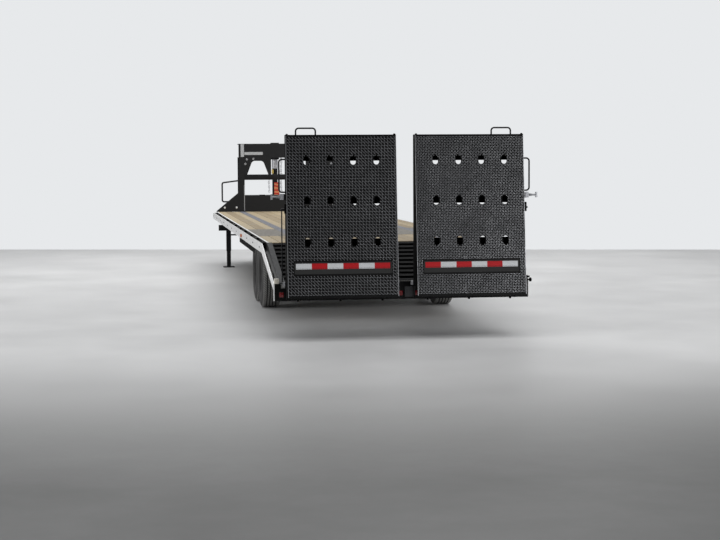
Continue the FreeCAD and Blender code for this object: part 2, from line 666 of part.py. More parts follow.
def bent_rod(name, points, radius, bend):
    """Round rod along straight runs joined by arcs. Points are triples of formulas."""
    spots = [sheet_values(point) for point in points]
    edges = []
    here = spots[0]
    for before, corner, after in zip(spots, spots[1:], spots[2:]):
        back = (before - corner).normalize()
        ahead = (after - corner).normalize()
        half = back.getAngle(ahead) / 2
        leg = size(bend) / math.tan(half)
        start = corner + back * leg
        end = corner + ahead * leg
        middle_line = (back + ahead).normalize()
        middle = corner + middle_line * (size(bend) / math.sin(half) - size(bend))
        edges.append(Part.LineSegment(here, start).toShape())
        edges.append(Part.Arc(start, middle, end).toShape())
        here = end
    edges.append(Part.LineSegment(here, spots[-1]).toShape())
    path = Part.Wire(edges)
    ring = Part.Wire(Part.Circle(spots[0], spots[1] - spots[0], size(radius)).toShape())
    thing = doc.addObject("Part::Feature", name)
    thing.Shape = path.makePipeShell([ring], True, True)
    return thing


RAMPS = {}
for side, sign in (("left", "-"), ("right", "")):
    def at(formula, sign=sign):
        return "%s(%s)" % (sign or "+", formula)

    def low_x(centre, width, sign=sign):
        """Low edge of a piece whose near edge to the middle is given for the right ramp."""
        return "-(%s + %s)" % (centre, width) if sign else "+(%s)" % centre

    # Panel that closes the tape's window from inside
    lean = "atan(ramp_taper)"
    depth = "(tape_place - tape_height / 2 - panel_lap)"
    panel = doc.addObject("Part::Box", "tape_panel_" + side)
    panel.Placement = FreeCAD.Placement(FreeCAD.Vector(), FreeCAD.Rotation(
        FreeCAD.Vector(1, 0, 0), 90 - math.degrees(math.atan(size("ramp_taper")))))
    bind(panel, Length="tape_width + 2 * panel_lap", Width="tape_height + 2 * panel_lap",
         Height="tape_panel")
    put(panel, (low_x("ramp_inner + tape_margin - panel_lap", "tape_width + 2 * panel_lap"),
                "hinge_y - ramp_deep_end + tread_plate + %s * sin(%s) + tape_panel * cos(%s)"
                % (depth, lean, lean),
                "ramp_bottom + %s * cos(%s) - tape_panel * sin(%s)" % (depth, lean, lean)))

    # Frame, notched for the panel
    pieces = [
        ramp_plate("ramp_inner_side_" + side, low_x("ramp_inner", "ramp_side"), "ramp_side", None),
        ramp_plate("ramp_outer_side_" + side, low_x("ramp_outer - ramp_side", "ramp_side"), "ramp_side",
                   None),
    ]
    for i, place in enumerate(("ramp_x - rib_place", "ramp_x", "ramp_x + rib_place")):
        pieces.append(ramp_plate("ramp_rib_%s_%d" % (side, i),
                                 low_x(place + " - ramp_side / 2", "ramp_side"), "ramp_side", "rib_toe"))
    RUNGS = ["hinge_z + first_rung - rung_size / 2 + %d * rung_pitch" % i
             for i in range(int(size("rung_count")))]
    RUNGS += ["hinge_z + eye_radius + rung_size", "ramp_top - rung_size"]
    for i, z in enumerate(RUNGS):
        x = low_x("ramp_inner", "ramp_width")
        pieces.append(block("rung_face_%s_%d" % (side, i), (x, "hinge_y - rung_wall", z), "ramp_width",
                            "rung_wall", "rung_size"))
        pieces.append(block("rung_top_%s_%d" % (side, i),
                            (x, "hinge_y - rung_size", z + " + rung_size - rung_wall"),
                            "ramp_width", "rung_size", "rung_wall"))
    for name, x in (("inner", "ramp_inner"), ("outer", "ramp_outer - ramp_side")):
        pieces.append(rod("ramp_eye_%s_%s" % (name, side), (low_x(x, "ramp_side"), "hinge_y", "hinge_z"),
                          "eye_radius", "ramp_side", "X"))
    pin_hole = rod("pin_hole_" + side,
                   (low_x("ramp_inner - over", "ramp_width + 2 * over"), "hinge_y", "hinge_z"),
                   "pin_radius + pin_clearance", "ramp_width + 2 * over", "X")
    frame = cut("ramp_frame_cut_" + side, fuse("ramp_frame_parts_" + side, pieces),
                group("ramp_notches_" + side, [pin_hole, panel]))
    node(frame, "ramp_%s_frame" % side)

    # Tread plate, leaning forwards with the taper, with grip holes and the tape's window
    tread = doc.addObject("PartDesign::Body", "tread_" + side)
    sheet_outline = outline(tread, "tread_outline_" + side, "XY_Plane", [
        ("0", "0"), ("ramp_width", "0"), ("ramp_width", "ramp_height / cos(atan(ramp_taper))"),
        ("0", "ramp_height / cos(atan(ramp_taper))"),
    ])
    pad = tread.newObject("PartDesign::Pad", "tread_pad_" + side)
    pad.Profile = sheet_outline
    bind(pad, Length="tread_plate")
    window = outline(tread, "window_outline_" + side, "XY_Plane", [
        ("(ramp_width - tape_width) / 2", "tape_place - tape_height / 2"),
        ("(ramp_width + tape_width) / 2", "tape_place - tape_height / 2"),
        ("(ramp_width + tape_width) / 2", "tape_place + tape_height / 2"),
        ("(ramp_width - tape_width) / 2", "tape_place + tape_height / 2"),
    ], "tread_plate")
    opening = tread.newObject("PartDesign::Pocket", "window_" + side)
    opening.Profile = window
    opening.Type = "ThroughAll"
    doc.recompute()
    for row in range(int(size("hole_rows"))):
        centre = ("(ramp_width - (hole_columns - 1) * hole_pitch) / 2", "first_row + %d * row_pitch" % row)
        slot = tread.newObject("Sketcher::SketchObject", "hole_%s_%d" % (side, row))
        slot.AttachmentSupport = (plane(tread, "XY_Plane"), [""])
        slot.MapMode = "FlatFace"
        slot.setExpression("AttachmentOffset.Base.z", in_sheet("tread_plate"))
        spot = sheet_values(centre)
        radius = size("hole_width") / 2
        rise = size("hole_height") / 2 - radius
        top = spot + FreeCAD.Vector(0, rise, 0)
        low = spot - FreeCAD.Vector(0, rise, 0)
        right = FreeCAD.Vector(radius, 0, 0)
        normal = FreeCAD.Vector(0, 0, 1)
        slot.addGeometry(Part.ArcOfCircle(Part.Circle(top, normal, radius), 0, math.pi), False)
        slot.addGeometry(Part.LineSegment(top - right, low - right), False)
        slot.addGeometry(Part.ArcOfCircle(Part.Circle(low, normal, radius), math.pi, 2 * math.pi), False)
        slot.addGeometry(Part.LineSegment(low + right, top + right), False)
        for first, first_end, second, second_end in ((0, 2, 1, 1), (1, 2, 2, 1), (2, 2, 3, 1),
                                                     (3, 2, 0, 1)):
            slot.addConstraint(Sketcher.Constraint("Tangent", first, first_end, second, second_end))
        slot.addConstraint(Sketcher.Constraint("Vertical", 1))
        for kind, geometry, formula, value in (
                ("DistanceX", 0, centre[0], top.x),
                ("DistanceY", 0, "%s + (hole_height - hole_width) / 2" % centre[1], top.y),
                ("DistanceY", 2, "%s - (hole_height - hole_width) / 2" % centre[1], low.y)):
            index = slot.addConstraint(Sketcher.Constraint(kind, -1, 1, geometry, 3, value))
            slot.setExpression("Constraints[%d]" % index, in_sheet(formula))
        index = slot.addConstraint(Sketcher.Constraint("Radius", 0, radius))
        slot.setExpression("Constraints[%d]" % index, in_sheet("hole_width / 2"))
        hole = tread.newObject("PartDesign::Pocket", "hole_cut_%s_%d" % (side, row))
        hole.Profile = slot
        hole.Type = "ThroughAll"
        doc.recompute()
        columns = tread.newObject("PartDesign::LinearPattern", "hole_row_%s_%d" % (side, row))
        columns.Originals = [hole]
        columns.Direction = (slot, ["H_Axis"])
        columns.Mode = "Spacing"
        bind(columns, Offset="hole_pitch")
        columns.Occurrences = int(size("hole_columns"))
        tread.Tip = columns
        doc.recompute()
    tread.Placement = FreeCAD.Placement(FreeCAD.Vector(), FreeCAD.Rotation(
        FreeCAD.Vector(1, 0, 0), 90 - math.degrees(math.atan(size("ramp_taper")))))
    put(tread, (low_x("ramp_inner", "ramp_width"), "hinge_y - ramp_deep_end + tread_plate", "ramp_bottom"))
    node(tread, "ramp_%s_tread" % side)

    # Fittings: tape panel, two handles, latch and catch
    back_at = "(hinge_y - rung_size / 2)"
    upper = bent_rod("top_handle_" + side, [
        (at("ramp_outer - top_handle_inset + top_handle_width / 2"), back_at, "ramp_top"),
        (at("ramp_outer - top_handle_inset + top_handle_width / 2"), back_at, "ramp_top + handle_reach"),
        (at("ramp_outer - top_handle_inset - top_handle_width / 2"), back_at, "ramp_top + handle_reach"),
        (at("ramp_outer - top_handle_inset - top_handle_width / 2"), back_at, "ramp_top"),
    ], "handle_rod", "handle_bend")
    low_end = "hinge_z + side_handle_place - side_handle_height / 2"
    high_end = "hinge_z + side_handle_place + side_handle_height / 2"
    side_y = "(hinge_y - handle_setback)"
    outer = bent_rod("side_handle_" + side, [
        (at("ramp_outer"), side_y, low_end), (at("ramp_outer + handle_reach"), side_y, low_end),
        (at("ramp_outer + handle_reach"), side_y, high_end), (at("ramp_outer"), side_y, high_end),
    ], "handle_rod", "handle_bend")
    latch = fuse("latch_parts_" + side, [
        block("latch_housing_" + side,
              (low_x("ramp_outer", "latch_size"), side_y + " - latch_size / 2",
               "hinge_z + latch_place - latch_size / 2"), "latch_size", "latch_size", "latch_size"),
        rod("latch_rod_" + side, (low_x("ramp_outer", "latch_reach"), side_y, "hinge_z + latch_place"),
            "latch_rod", "latch_reach", "X"),
        block("latch_tab_" + side, (low_x("ramp_outer + latch_reach - latch_rod * 2", "latch_rod * 2"),
                                    side_y + " - latch_rod", "hinge_z + latch_place - latch_rod * 3"),
              "latch_rod * 2", "latch_rod * 2", "latch_rod * 6"),
    ])
    catch = [
        block("catch_plate_" + side, (low_x("ramp_outer", "ramp_side"), side_y + " - latch_size / 2",
                                      "hinge_z + prop_place - catch_height / 2"),
              "ramp_side", "latch_size", "catch_height"),
        rod("catch_rod_" + side, (low_x("ramp_outer", "catch_reach"), side_y, "hinge_z + prop_place"),
            "latch_rod", "catch_reach", "X"),
    ]
    if sign:
        catch.append(rod("prop_rod_" + side, (low_x("ramp_outer + catch_reach - latch_rod", "0"), side_y,
                                              "hinge_z + prop_end"),
                         "prop_rod", "prop_place - prop_end"))
    node(group("ramp_fittings_" + side, [panel, upper, outer, latch, fuse("catch_parts_" + side, catch)]),
         "ramp_%s_fittings" % side)


# Running gear: two axles under leaf springs, on hangers below the main beams
axle_z = "tyre_radius"
for name, y in (("rear", "rear_axle_y"), ("front", "front_axle_y")):
    inner = "(wheel_x - rim_width / 2 - brake_room)"
    tube = rod("axle_tube_" + name, ("-" + inner, y, axle_z), "axle_radius", "2 * " + inner, "X")
    spindle = rod("spindle_" + name, ("-(wheel_x + spindle_reach)", y, axle_z), "spindle_radius",
                  "2 * (wheel_x + spindle_reach)", "X")
    plates = [rod("backing_%s_%s" % (name, side), (x, y, axle_z), "brake_radius", "backing_thickness", "X")
              for side, x in (("left", "-" + inner), ("right", inner + " - backing_thickness"))]
    seats = [block("seat_%s_%s" % (name, side),
                   (x + " - spring_width / 2", y + " - seat_length / 2", axle_z), "spring_width",
                   "seat_length", "axle_radius + spring_seat")
             for side, x in (("left", "-beam_x"), ("right", "beam_x"))]
    node(fuse("axle_parts_" + name, [tube, spindle] + plates + seats), "axle_" + name)

# A leaf pack is one bow of flat leaves, each shorter than the one above it
springs = []
hangers = []
for side, x in (("left", "-beam_x"), ("right", "beam_x")):
    for name, y in (("rear", "rear_axle_y"), ("front", "front_axle_y")):
        leaves = []
        for i in range(int(size("spring_leaves"))):
            share = 1 - 0.2 * i
            level = "leaf_foot + (spring_leaves - 1 - %d) * spring_leaf" % i
            half_run = [("spring_length / 2 * %.2f" % share,
                         "%s + spring_arch * %.4f" % (level, share ** 2)),
                        ("spring_length / 4 * %.2f" % share,
                         "%s + spring_arch / 4 * %.4f" % (level, share ** 2)),
                        ("seat_length / 2 * 0.8", level)]
            under = [("%s - %s" % (y, run), z) for run, z in half_run]
            under += [("%s + %s" % (y, run), z) for run, z in reversed(half_run)]
            upper = [(place, z + " + spring_leaf") for place, z in reversed(under)]
            leaves.append(plate("leaf_%s_%s_%d" % (side, name, i), "YZ_Plane", under + upper,
                                "spring_width", x + " - spring_width / 2"))
        springs.append(fuse("spring_%s_%s" % (side, name), leaves))
    for name, y, length in (("rear", "rear_axle_y - spring_length / 2", "hanger_length"),
                            ("middle", "bogie_y", "axle_spacing - spring_length + hanger_length"),
                            ("front", "front_axle_y + spring_length / 2", "hanger_length")):
        hangers.append(block("hanger_%s_%s" % (side, name),
                             (x + " - spring_width / 2 - hanger_side", "%s - (%s) / 2" % (y, length),
                              "spring_end"),
                             "spring_width + 2 * hanger_side", length, "hanger_height"))
node(group("spring_group", springs), "leaf_springs")
node(group("hanger_group", hangers), "spring_hangers")


# Wheels: tyre with tread grooves, steel wheel with hub, both turned about the axle
def turned(name, profile):
    """Ring turned about the X axis from (across, radius) pairs, then stood on the axle."""
    body = doc.addObject("PartDesign::Body", name)
    sketch = outline(body, name + "_outline", "XY_Plane", profile)
    ring = body.newObject("PartDesign::Revolution", name + "_ring")
    ring.Profile = sketch
    ring.ReferenceAxis = (sketch, ["H_Axis"])
    ring.Angle = 360
    sketch.Visibility = False
    return body


def groove(centre):
    """Profile points of one tread groove, at a place across the tyre."""
    near = "%s - groove_width / 2" % centre
    far = "%s + groove_width / 2" % centre
    return [(near, "tyre_radius"), (near, "tyre_radius - groove_depth"),
            (far, "tyre_radius - groove_depth"), (far, "tyre_radius")]


TYRE = [
    ("-rim_width / 2", "rim_radius"), ("-tyre_width / 2 + 6", "rim_radius + 35"),
    ("-tyre_width / 2", "rim_radius + 85"), ("-tyre_width / 2 + 8", "tyre_radius - 45"),
    ("-tread_width / 2", "tyre_radius - shoulder_drop"), ("-tread_width / 3", "tyre_radius"),
    *groove("-groove_place"), *groove("groove_place"),
    ("tread_width / 3", "tyre_radius"), ("tread_width / 2", "tyre_radius - shoulder_drop"),
    ("tyre_width / 2 - 8", "tyre_radius - 45"), ("tyre_width / 2", "rim_radius + 85"),
    ("tyre_width / 2 - 6", "rim_radius + 35"), ("rim_width / 2", "rim_radius"),
]
RIM = [
    ("-rim_width / 2", "rim_radius - 14"), ("-rim_width / 2", "rim_radius - fit"),
    ("rim_width / 2", "rim_radius - fit"), ("rim_width / 2", "rim_radius - 14"),
    ("rim_width / 2 - 30", "rim_radius - 26"), ("60", "rim_radius - 30"),
    ("44", "92"), ("70", "80"), ("70", "55"), ("84", "50"), ("84", "0"), ("44", "0"),
    ("44", "spindle_radius + 0.6"), ("-50", "spindle_radius + 0.6"), ("-50", "90"), ("20", "100"),
    ("34", "rim_radius - 42"), ("-rim_width / 2 + 30", "rim_radius - 26"),
]
for side, sign in (("left", -1), ("right", 1)):
    for name, y in (("rear", "rear_axle_y"), ("front", "front_axle_y")):
        for kind, profile in (("tyre", TYRE), ("rim", RIM)):
            if sign < 0:
                profile = [("-(%s)" % across, radius) for across, radius in reversed(profile)]
            wheel = turned("%s_%s_%s_body" % (kind, side, name), profile)
            put(wheel, ("%d * wheel_x" % sign, y, axle_z))
            node(wheel, "%s_%s_%s" % (kind, side, name))

# Landing jacks: square tubes under the sides near the front, joined by a shaft
tubes = []
legs = []
for side, x in (("left", "-jack_x"), ("right", "jack_x")):
    outer = block("jack_outer_" + side,
                  (x + " - jack_tube / 2", "jack_y - jack_tube / 2", "jack_tube_bottom"), "jack_tube",
                  "jack_tube", "member_bottom - jack_tube_bottom")
    hollow = block("jack_hollow_" + side, (x + " - jack_inner / 2 - fit", "jack_y - jack_inner / 2 - fit",
                                           "jack_tube_bottom - over"),
                   "jack_inner + 2 * fit", "jack_inner + 2 * fit",
                   "member_bottom - jack_tube_bottom - jack_cap + over")
    tubes.append(cut("jack_tube_" + side, outer, hollow))
    legs.append(fuse("jack_leg_" + side, [
        block("jack_inner_" + side, (x + " - jack_inner / 2", "jack_y - jack_inner / 2", "0"), "jack_inner",
              "jack_inner", "member_bottom - jack_cap - jack_room"),
        block("jack_foot_" + side, (x + " - jack_foot / 2", "jack_y - jack_foot / 2", "0"), "jack_foot",
              "jack_foot", "foot_thickness"),
    ]))
braces = []
near = "beam_x + beam_web / 2"
far = "jack_x - jack_tube / 2"
for side, x in (("left", "-(%s)" % far), ("right", near)):
    braces.append(block("jack_brace_" + side,
                        (x, "jack_y - brace_thickness / 2", "beam_bottom + flange_thickness + brace_lift"),
                        "%s - (%s)" % (far, near), "brace_thickness", "brace_height"))
shaft = rod("jack_shaft_bar", ("-(%s)" % far, "jack_y + shaft_offset", "beam_bottom - shaft_drop"),
            "jack_shaft", "2 * (%s)" % far, "X")
gearbox = block("jack_gearbox", ("-(jack_x + jack_tube / 2 + gearbox_width)", "jack_y - gearbox_length / 2",
                                 "beam_bottom + flange_thickness + brace_lift"),
                "gearbox_width", "gearbox_length", "gearbox_height")
node(group("jack_tube_group", tubes), "jack_tubes")
node(group("jack_leg_group", legs), "jack_legs")
node(group("jack_brace_group", braces + [shaft, gearbox]), "jack_braces")


# Gooseneck: risers, neck beams that close in on the coupler, nose plate
def flat_bar_plan(name, half, start, low, height, sign):
    """Neck beam seen from above: straight over the riser, then in to the nose plate."""
    def x(formula):
        return "-(%s)" % formula if sign < 0 else formula
    nose = "coupler_y - sleeve_size / 2 - nose_thickness"
    corners = [
        (x("beam_x - " + half), start), (x("beam_x + " + half), start),
        (x("beam_x + " + half), "front_y + riser_depth"),
        (x("neck_nose - 50 + " + half), nose), (x("neck_nose - 50 - " + half), nose),
        (x("beam_x - " + half), "front_y + riser_depth - 20"),
    ]
    if sign < 0:
        corners.reverse()
    return plate(name, "XY_Plane", corners, height, low)


risers = []
neck = []
for side, sign in (("left", -1), ("right", 1)):
    x = "%d * beam_x" % sign
    risers.append(fuse("riser_" + side, [
        block("riser_back_" + side, (x + " - beam_flange / 2", "front_y", "beam_bottom"), "beam_flange",
              "flange_thickness", "neck_bottom - beam_bottom"),
        block("riser_web_" + side, (x + " - beam_web / 2", "front_y", "beam_bottom"), "beam_web",
              "riser_depth", "neck_bottom - beam_bottom"),
        block("riser_face_" + side, (x + " - beam_flange / 2", "front_y + riser_depth - flange_thickness",
                                     "beam_bottom"),
              "beam_flange", "flange_thickness", "neck_bottom - beam_bottom"),
        block("riser_foot_" + side, (x + " - beam_flange / 2", "front_y", "beam_bottom"), "beam_flange",
              "riser_depth", "flange_thickness"),
    ]))
    neck.append(fuse("neck_" + side, [
        flat_bar_plan("neck_low_" + side, "beam_flange / 2", "front_y", "neck_bottom", "flange_thickness",
                      sign),
        flat_bar_plan("neck_web_" + side, "beam_web / 2", "front_y", "neck_bottom", "neck_depth", sign),
        flat_bar_plan("neck_high_" + side, "beam_flange / 2", "front_y", "neck_top - flange_thickness",
                      "flange_thickness", sign),
        block("neck_end_" + side, (x + " - beam_flange / 2", "front_y", "neck_bottom"), "beam_flange",
              "flange_thickness", "neck_depth"),
    ]))
node(group("riser_group", risers), "neck_risers")
node(group("neck_group", neck), "neck_beams")
inner = "(beam_x - beam_flange / 2)"
cross = fuse("neck_cross_parts", [
    block("neck_cross_web", ("-" + inner, "front_y", "neck_bottom"), "2 * " + inner, "flange_thickness",
          "neck_depth"),
    block("neck_cross_low", ("-" + inner, "front_y", "neck_bottom"), "2 * " + inner, "neck_flange",
          "flange_thickness"),
    block("neck_cross_high", ("-" + inner, "front_y", "neck_top - flange_thickness"), "2 * " + inner,
          "neck_flange", "flange_thickness"),
])
node(cross, "neck_cross_beam")

# Arched plates: between the risers' inner flanges and the bar that ties them
arches = [block("cross_bar", ("-" + inner, "front_y", "cross_bar_bottom"), "2 * " + inner, "cross_bar_depth",
                "cross_bar_height")]
bar_top = "(cross_bar_bottom + cross_bar_height)"
through = "arch_plate + 2 * over"
for side, sign in (("left", -1), ("right", 1)):
    def low_x(near, width, sign=sign):
        return "-(%s + %s)" % (near, width) if sign < 0 else near
    panel = block("arch_panel_" + side, (low_x("arch_inner", inner + " - arch_inner"), "front_y", bar_top),
                  inner + " - arch_inner", "arch_plate", "neck_bottom - " + bar_top)
    foot = "(%s - arch_margin - arch_width)" % inner
    opening = fuse("arch_opening_" + side, [
        block("arch_low_" + side, (low_x(foot, "arch_width"), "front_y - over", bar_top + " - over"),
              "arch_width", through, "arch_height - arch_radius + over"),
        block("arch_high_" + side,
              (low_x(foot + " + arch_radius", "arch_width - 2 * arch_radius"), "front_y - over", bar_top),
              "arch_width - 2 * arch_radius", through, "arch_height"),
        rod("arch_near_" + side, (low_x(foot + " + arch_radius", "0"), "front_y - over",
                                  bar_top + " + arch_height - arch_radius"), "arch_radius", through, "Y"),
        rod("arch_far_" + side, (low_x(foot + " + arch_width - arch_radius", "0"), "front_y - over",
                                 bar_top + " + arch_height - arch_radius"), "arch_radius", through, "Y"),
    ])
    arches.append(cut("arch_" + side, panel, opening))
node(fuse("arch_parts", arches), "neck_arch")

# Coupler: square sleeve at the nose, round tube that slides in it, head with the ball socket
nose = block("nose_plate", ("-neck_nose", "coupler_y - sleeve_size / 2 - nose_thickness", "neck_bottom"),
             "2 * neck_nose", "nose_thickness", "neck_depth")
sleeve = block("sleeve_block",
               ("-sleeve_size / 2", "coupler_y - sleeve_size / 2", "neck_bottom - sleeve_drop"), "sleeve_size",
               "sleeve_size", "neck_depth + sleeve_drop + sleeve_rise")
bore = rod("sleeve_bore", ("0", "coupler_y", "neck_bottom - sleeve_drop - over"), "coupler_radius + fit",
           "neck_depth + sleeve_drop + sleeve_rise - 10")
node(cut("sleeve_cut", fuse("sleeve_parts", [nose, sleeve]), bore), "coupler_sleeve")
tube = rod("coupler_tube_bar", ("0", "coupler_y", "coupler_bottom + head_height - over"), "coupler_radius",
           "neck_bottom - coupler_bottom - head_height + 100")
head = rod("coupler_head", ("0", "coupler_y", "coupler_bottom"), "head_radius", "head_height")
socket = rod("coupler_socket", ("0", "coupler_y", "coupler_bottom - over"), "ball_bore", "ball_depth + over")
keeper = block("coupler_keeper", ("-head_radius - 14", "coupler_y - 45", "coupler_bottom + 20"), "30", "90",
               "44")
node(cut("coupler_cut", fuse("coupler_parts", [tube, head, keeper]), socket), "coupler_tube")

# Safety chains: hang from the nose plate, link through link
chains = []
for side, x in (("left", "-(sleeve_size / 2 + 40)"), ("right", "sleeve_size / 2 + 40")):
    y = "(coupler_y - sleeve_size / 2 + 22)"
    step = "(chain_link - 2 * chain_wire)"
    links = [block("chain_lug_" + side, (x + " - 14", "coupler_y - sleeve_size / 2", "neck_bottom + 4"),
                   "28", "44", "40")]
    for i in range(int(size("chain_links"))):
        z = "neck_bottom + 10 - chain_link - %d * (chain_link - chain_wire)" % i
        wide = "chain_wire * 3"
        across, along = (wide, "chain_wire") if i % 2 else ("chain_wire", wide)
        ring = block("link_%s_%d" % (side, i), (x + " - (%s) / 2" % across, y + " - (%s) / 2" % along, z),
                     across, along, "chain_link")
        if i % 2:
            eye = block("eye_%s_%d" % (side, i),
                        (x + " - chain_wire / 2", y + " - chain_wire", z + " + chain_wire"),
                        "chain_wire", "2 * chain_wire", step)
        else:
            eye = block("eye_%s_%d" % (side, i),
                        (x + " - chain_wire", y + " - chain_wire / 2", z + " + chain_wire"),
                        "2 * chain_wire", "chain_wire", step)
        links.append(cut("chain_ring_%s_%d" % (side, i), ring, eye))
    chains.append(fuse("chain_" + side, links))
node(group("chain_group", chains), "safety_chains")

# Toolbox: open tray between the risers, with a lid hinged along its front edge
rim_z = "(box_top - lid_thickness)"
shell = block("box_shell", ("-" + inner, "front_y", "box_bottom"), "2 * " + inner, "box_depth",
              rim_z + " - box_bottom")
space = block("box_space", ("-%s + box_wall" % inner, "front_y + box_wall", "box_bottom + box_wall"),
              "2 * (%s - box_wall)" % inner, "box_depth - 2 * box_wall", rim_z + " - box_bottom")
node(cut("box_cut", shell, space), "toolbox")
half = "(%s - lid_side_gap)" % inner
lid = block("lid_tray", ("-" + half, "front_y + lid_rear_gap", rim_z + " + fit"), "2 * " + half,
            "box_depth - lid_rear_gap", "lid_thickness - fit")
hollow = block("lid_hollow",
               ("-%s + box_wall" % half, "front_y + lid_rear_gap + box_wall", rim_z + " - over"),
               "2 * (%s - box_wall)" % half, "box_depth - lid_rear_gap - 2 * box_wall",
               "lid_thickness - box_wall + over")
hasp = block("lid_hasp", ("-hasp_place - hasp_width / 2", "front_y + lid_rear_gap", "box_top - over"),
             "hasp_width", "hasp_depth", "hasp_height + over")
node(fuse("lid_parts", [cut("lid_shell", lid, hollow), hasp]), "toolbox_lid")

# Wing plates: slope from the risers down to the deck's corners
wings = []
for side, sign in (("left", -1), ("right", 1)):
    def x(formula, sign=sign):
        return "-(%s)" % formula if sign < 0 else formula
    corners = [
        (x("riser_outer"), "deck_height"), (x("side_x"), "deck_height"),
        (x("side_x"), "deck_height + wing_tip"),
        (x("riser_outer"), "deck_height + wing_height"),
    ]
    if sign < 0:
        corners.reverse()
    upper = plate("wing_" + side, "XZ_Plane", corners, "wing_thickness", "-(front_y + wing_thickness)")
    wings.append(upper)
node(group("wing_group", wings), "wing_plates")

# Grab handles: bent rod from each riser out and down to the wing plate
grabs = []
for side, sign in (("left", "-"), ("right", "")):
    def at(formula, sign=sign):
        return "%s(%s)" % (sign or "+", formula)
    y = "front_y + wing_thickness + grab_radius + fit"
    grabs.append(bent_rod("grab_" + side, [
        (at("riser_outer"), y, "grab_top"), (at("grab_x"), y, "grab_top - grab_fall"),
        (at("grab_x"), y, "grab_bottom"), (at("grab_x - grab_foot"), y, "grab_bottom"),
    ], "grab_radius", "handle_bend"))
node(group("grab_group", grabs), "grab_handles")

# Skirts over the wheels, under the rub rails
skirts = [block("skirt_" + side, (x, "bogie_y - skirt_length / 2", "rail_top - rail_height - skirt_height"),
                "skirt_thickness", "skirt_length", "skirt_height")
          for side, x in (("left", "-rail_x - skirt_thickness / 2"),
                          ("right", "rail_x - skirt_thickness / 2"))]
node(group("skirt_group", skirts), "side_skirts")


# Checks every object, then writes each sub-part
doc.recompute()
os.makedirs("parts", exist_ok=True)
for thing in doc.Objects:
    faults = [state for state in thing.State if state in ("Invalid", "Error")]
    if faults:
        raise RuntimeError("%s is %s" % (thing.Name, faults))
for thing in nodes:
    if thing.Shape.isNull() or not thing.Shape.isValid():
        raise RuntimeError("%s has a bad shape" % thing.Label)
for thing in nodes:
    thing.Shape.exportStep("parts/%s.step" % thing.Label)
    box = thing.Shape.BoundBox
    print("%-22s %3d solids  %8.1f L  x %7.1f %7.1f  y %8.1f %8.1f  z %7.1f %7.1f" % (
        thing.Label, len(thing.Shape.Solids), thing.Shape.Volume / 1e6, box.XMin, box.XMax, box.YMin,
        box.YMax, box.ZMin, box.ZMax))
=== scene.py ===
import math
import random

import bpy
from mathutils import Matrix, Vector


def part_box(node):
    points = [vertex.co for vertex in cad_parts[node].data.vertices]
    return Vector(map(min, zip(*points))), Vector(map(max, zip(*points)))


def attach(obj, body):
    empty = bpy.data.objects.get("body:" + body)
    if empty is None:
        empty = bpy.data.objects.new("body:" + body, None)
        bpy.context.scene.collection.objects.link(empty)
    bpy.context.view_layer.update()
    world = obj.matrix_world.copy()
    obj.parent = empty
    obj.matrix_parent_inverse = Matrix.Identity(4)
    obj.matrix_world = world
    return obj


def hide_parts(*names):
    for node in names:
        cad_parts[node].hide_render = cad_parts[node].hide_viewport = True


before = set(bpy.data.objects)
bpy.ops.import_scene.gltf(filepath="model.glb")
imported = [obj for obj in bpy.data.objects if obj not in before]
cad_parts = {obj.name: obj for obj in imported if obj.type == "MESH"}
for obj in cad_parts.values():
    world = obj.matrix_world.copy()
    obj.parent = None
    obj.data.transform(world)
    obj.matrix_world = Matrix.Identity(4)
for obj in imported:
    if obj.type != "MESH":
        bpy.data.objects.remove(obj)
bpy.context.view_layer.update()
bpy.ops.object.select_all(action="DESELECT")

# Steel of the chassis: beams, cross members and brackets of hot rolled mild steel, shot blasted
# and powder coated satin black after welding, so that corners and welds are softly rounded over
# by the coat. Dust lies on what faces up.


def linear(code):
    """Linear colour of an sRGB hex code."""
    parts = [int(code[i:i + 2], 16) / 255 for i in (0, 2, 4)]
    return [p / 12.92 if p <= 0.04045 else ((p + 0.055) / 1.055) ** 2.4 for p in parts] + [1]


def add(material, kind, sockets=None, **settings):
    """Adds a shader node with its settings, and sets or links its input sockets."""
    tree = material.node_tree
    new = tree.nodes.new("ShaderNode" + kind)
    for name, value in settings.items():
        setattr(new, name, value)
    for socket, value in (sockets or {}).items():
        if isinstance(value, bpy.types.NodeSocket):
            tree.links.new(value, new.inputs[socket])
        else:
            new.inputs[socket].default_value = value
    return new


def start(name, **surface):
    """New material, its principled shader with fixed sockets set, and Object coordinates."""
    material = bpy.data.materials.new(name)
    material.use_nodes = True
    material.node_tree.nodes.clear()
    sockets = {key.replace("_", " "): value for key, value in surface.items()}
    shader = add(material, "BsdfPrincipled", sockets)
    add(material, "OutputMaterial", {"Surface": shader.outputs[0]})
    place = add(material, "TexCoord").outputs["Object"]
    return material, shader, place


def feed(material, shader, **sources):
    for socket, source in sources.items():
        material.node_tree.links.new(source, shader.inputs[socket.replace("_", " ")])


def facing_up(material, start_at, end_at):
    """From 0 to 1 as a face's normal turns upwards."""
    normal = add(material, "NewGeometry").outputs["Normal"]
    parts = add(material, "SeparateXYZ", {0: normal})
    return add(material, "MapRange", {0: parts.outputs["Z"], 1: start_at, 2: end_at, 3: 0,
                                      4: 1}).outputs[0]


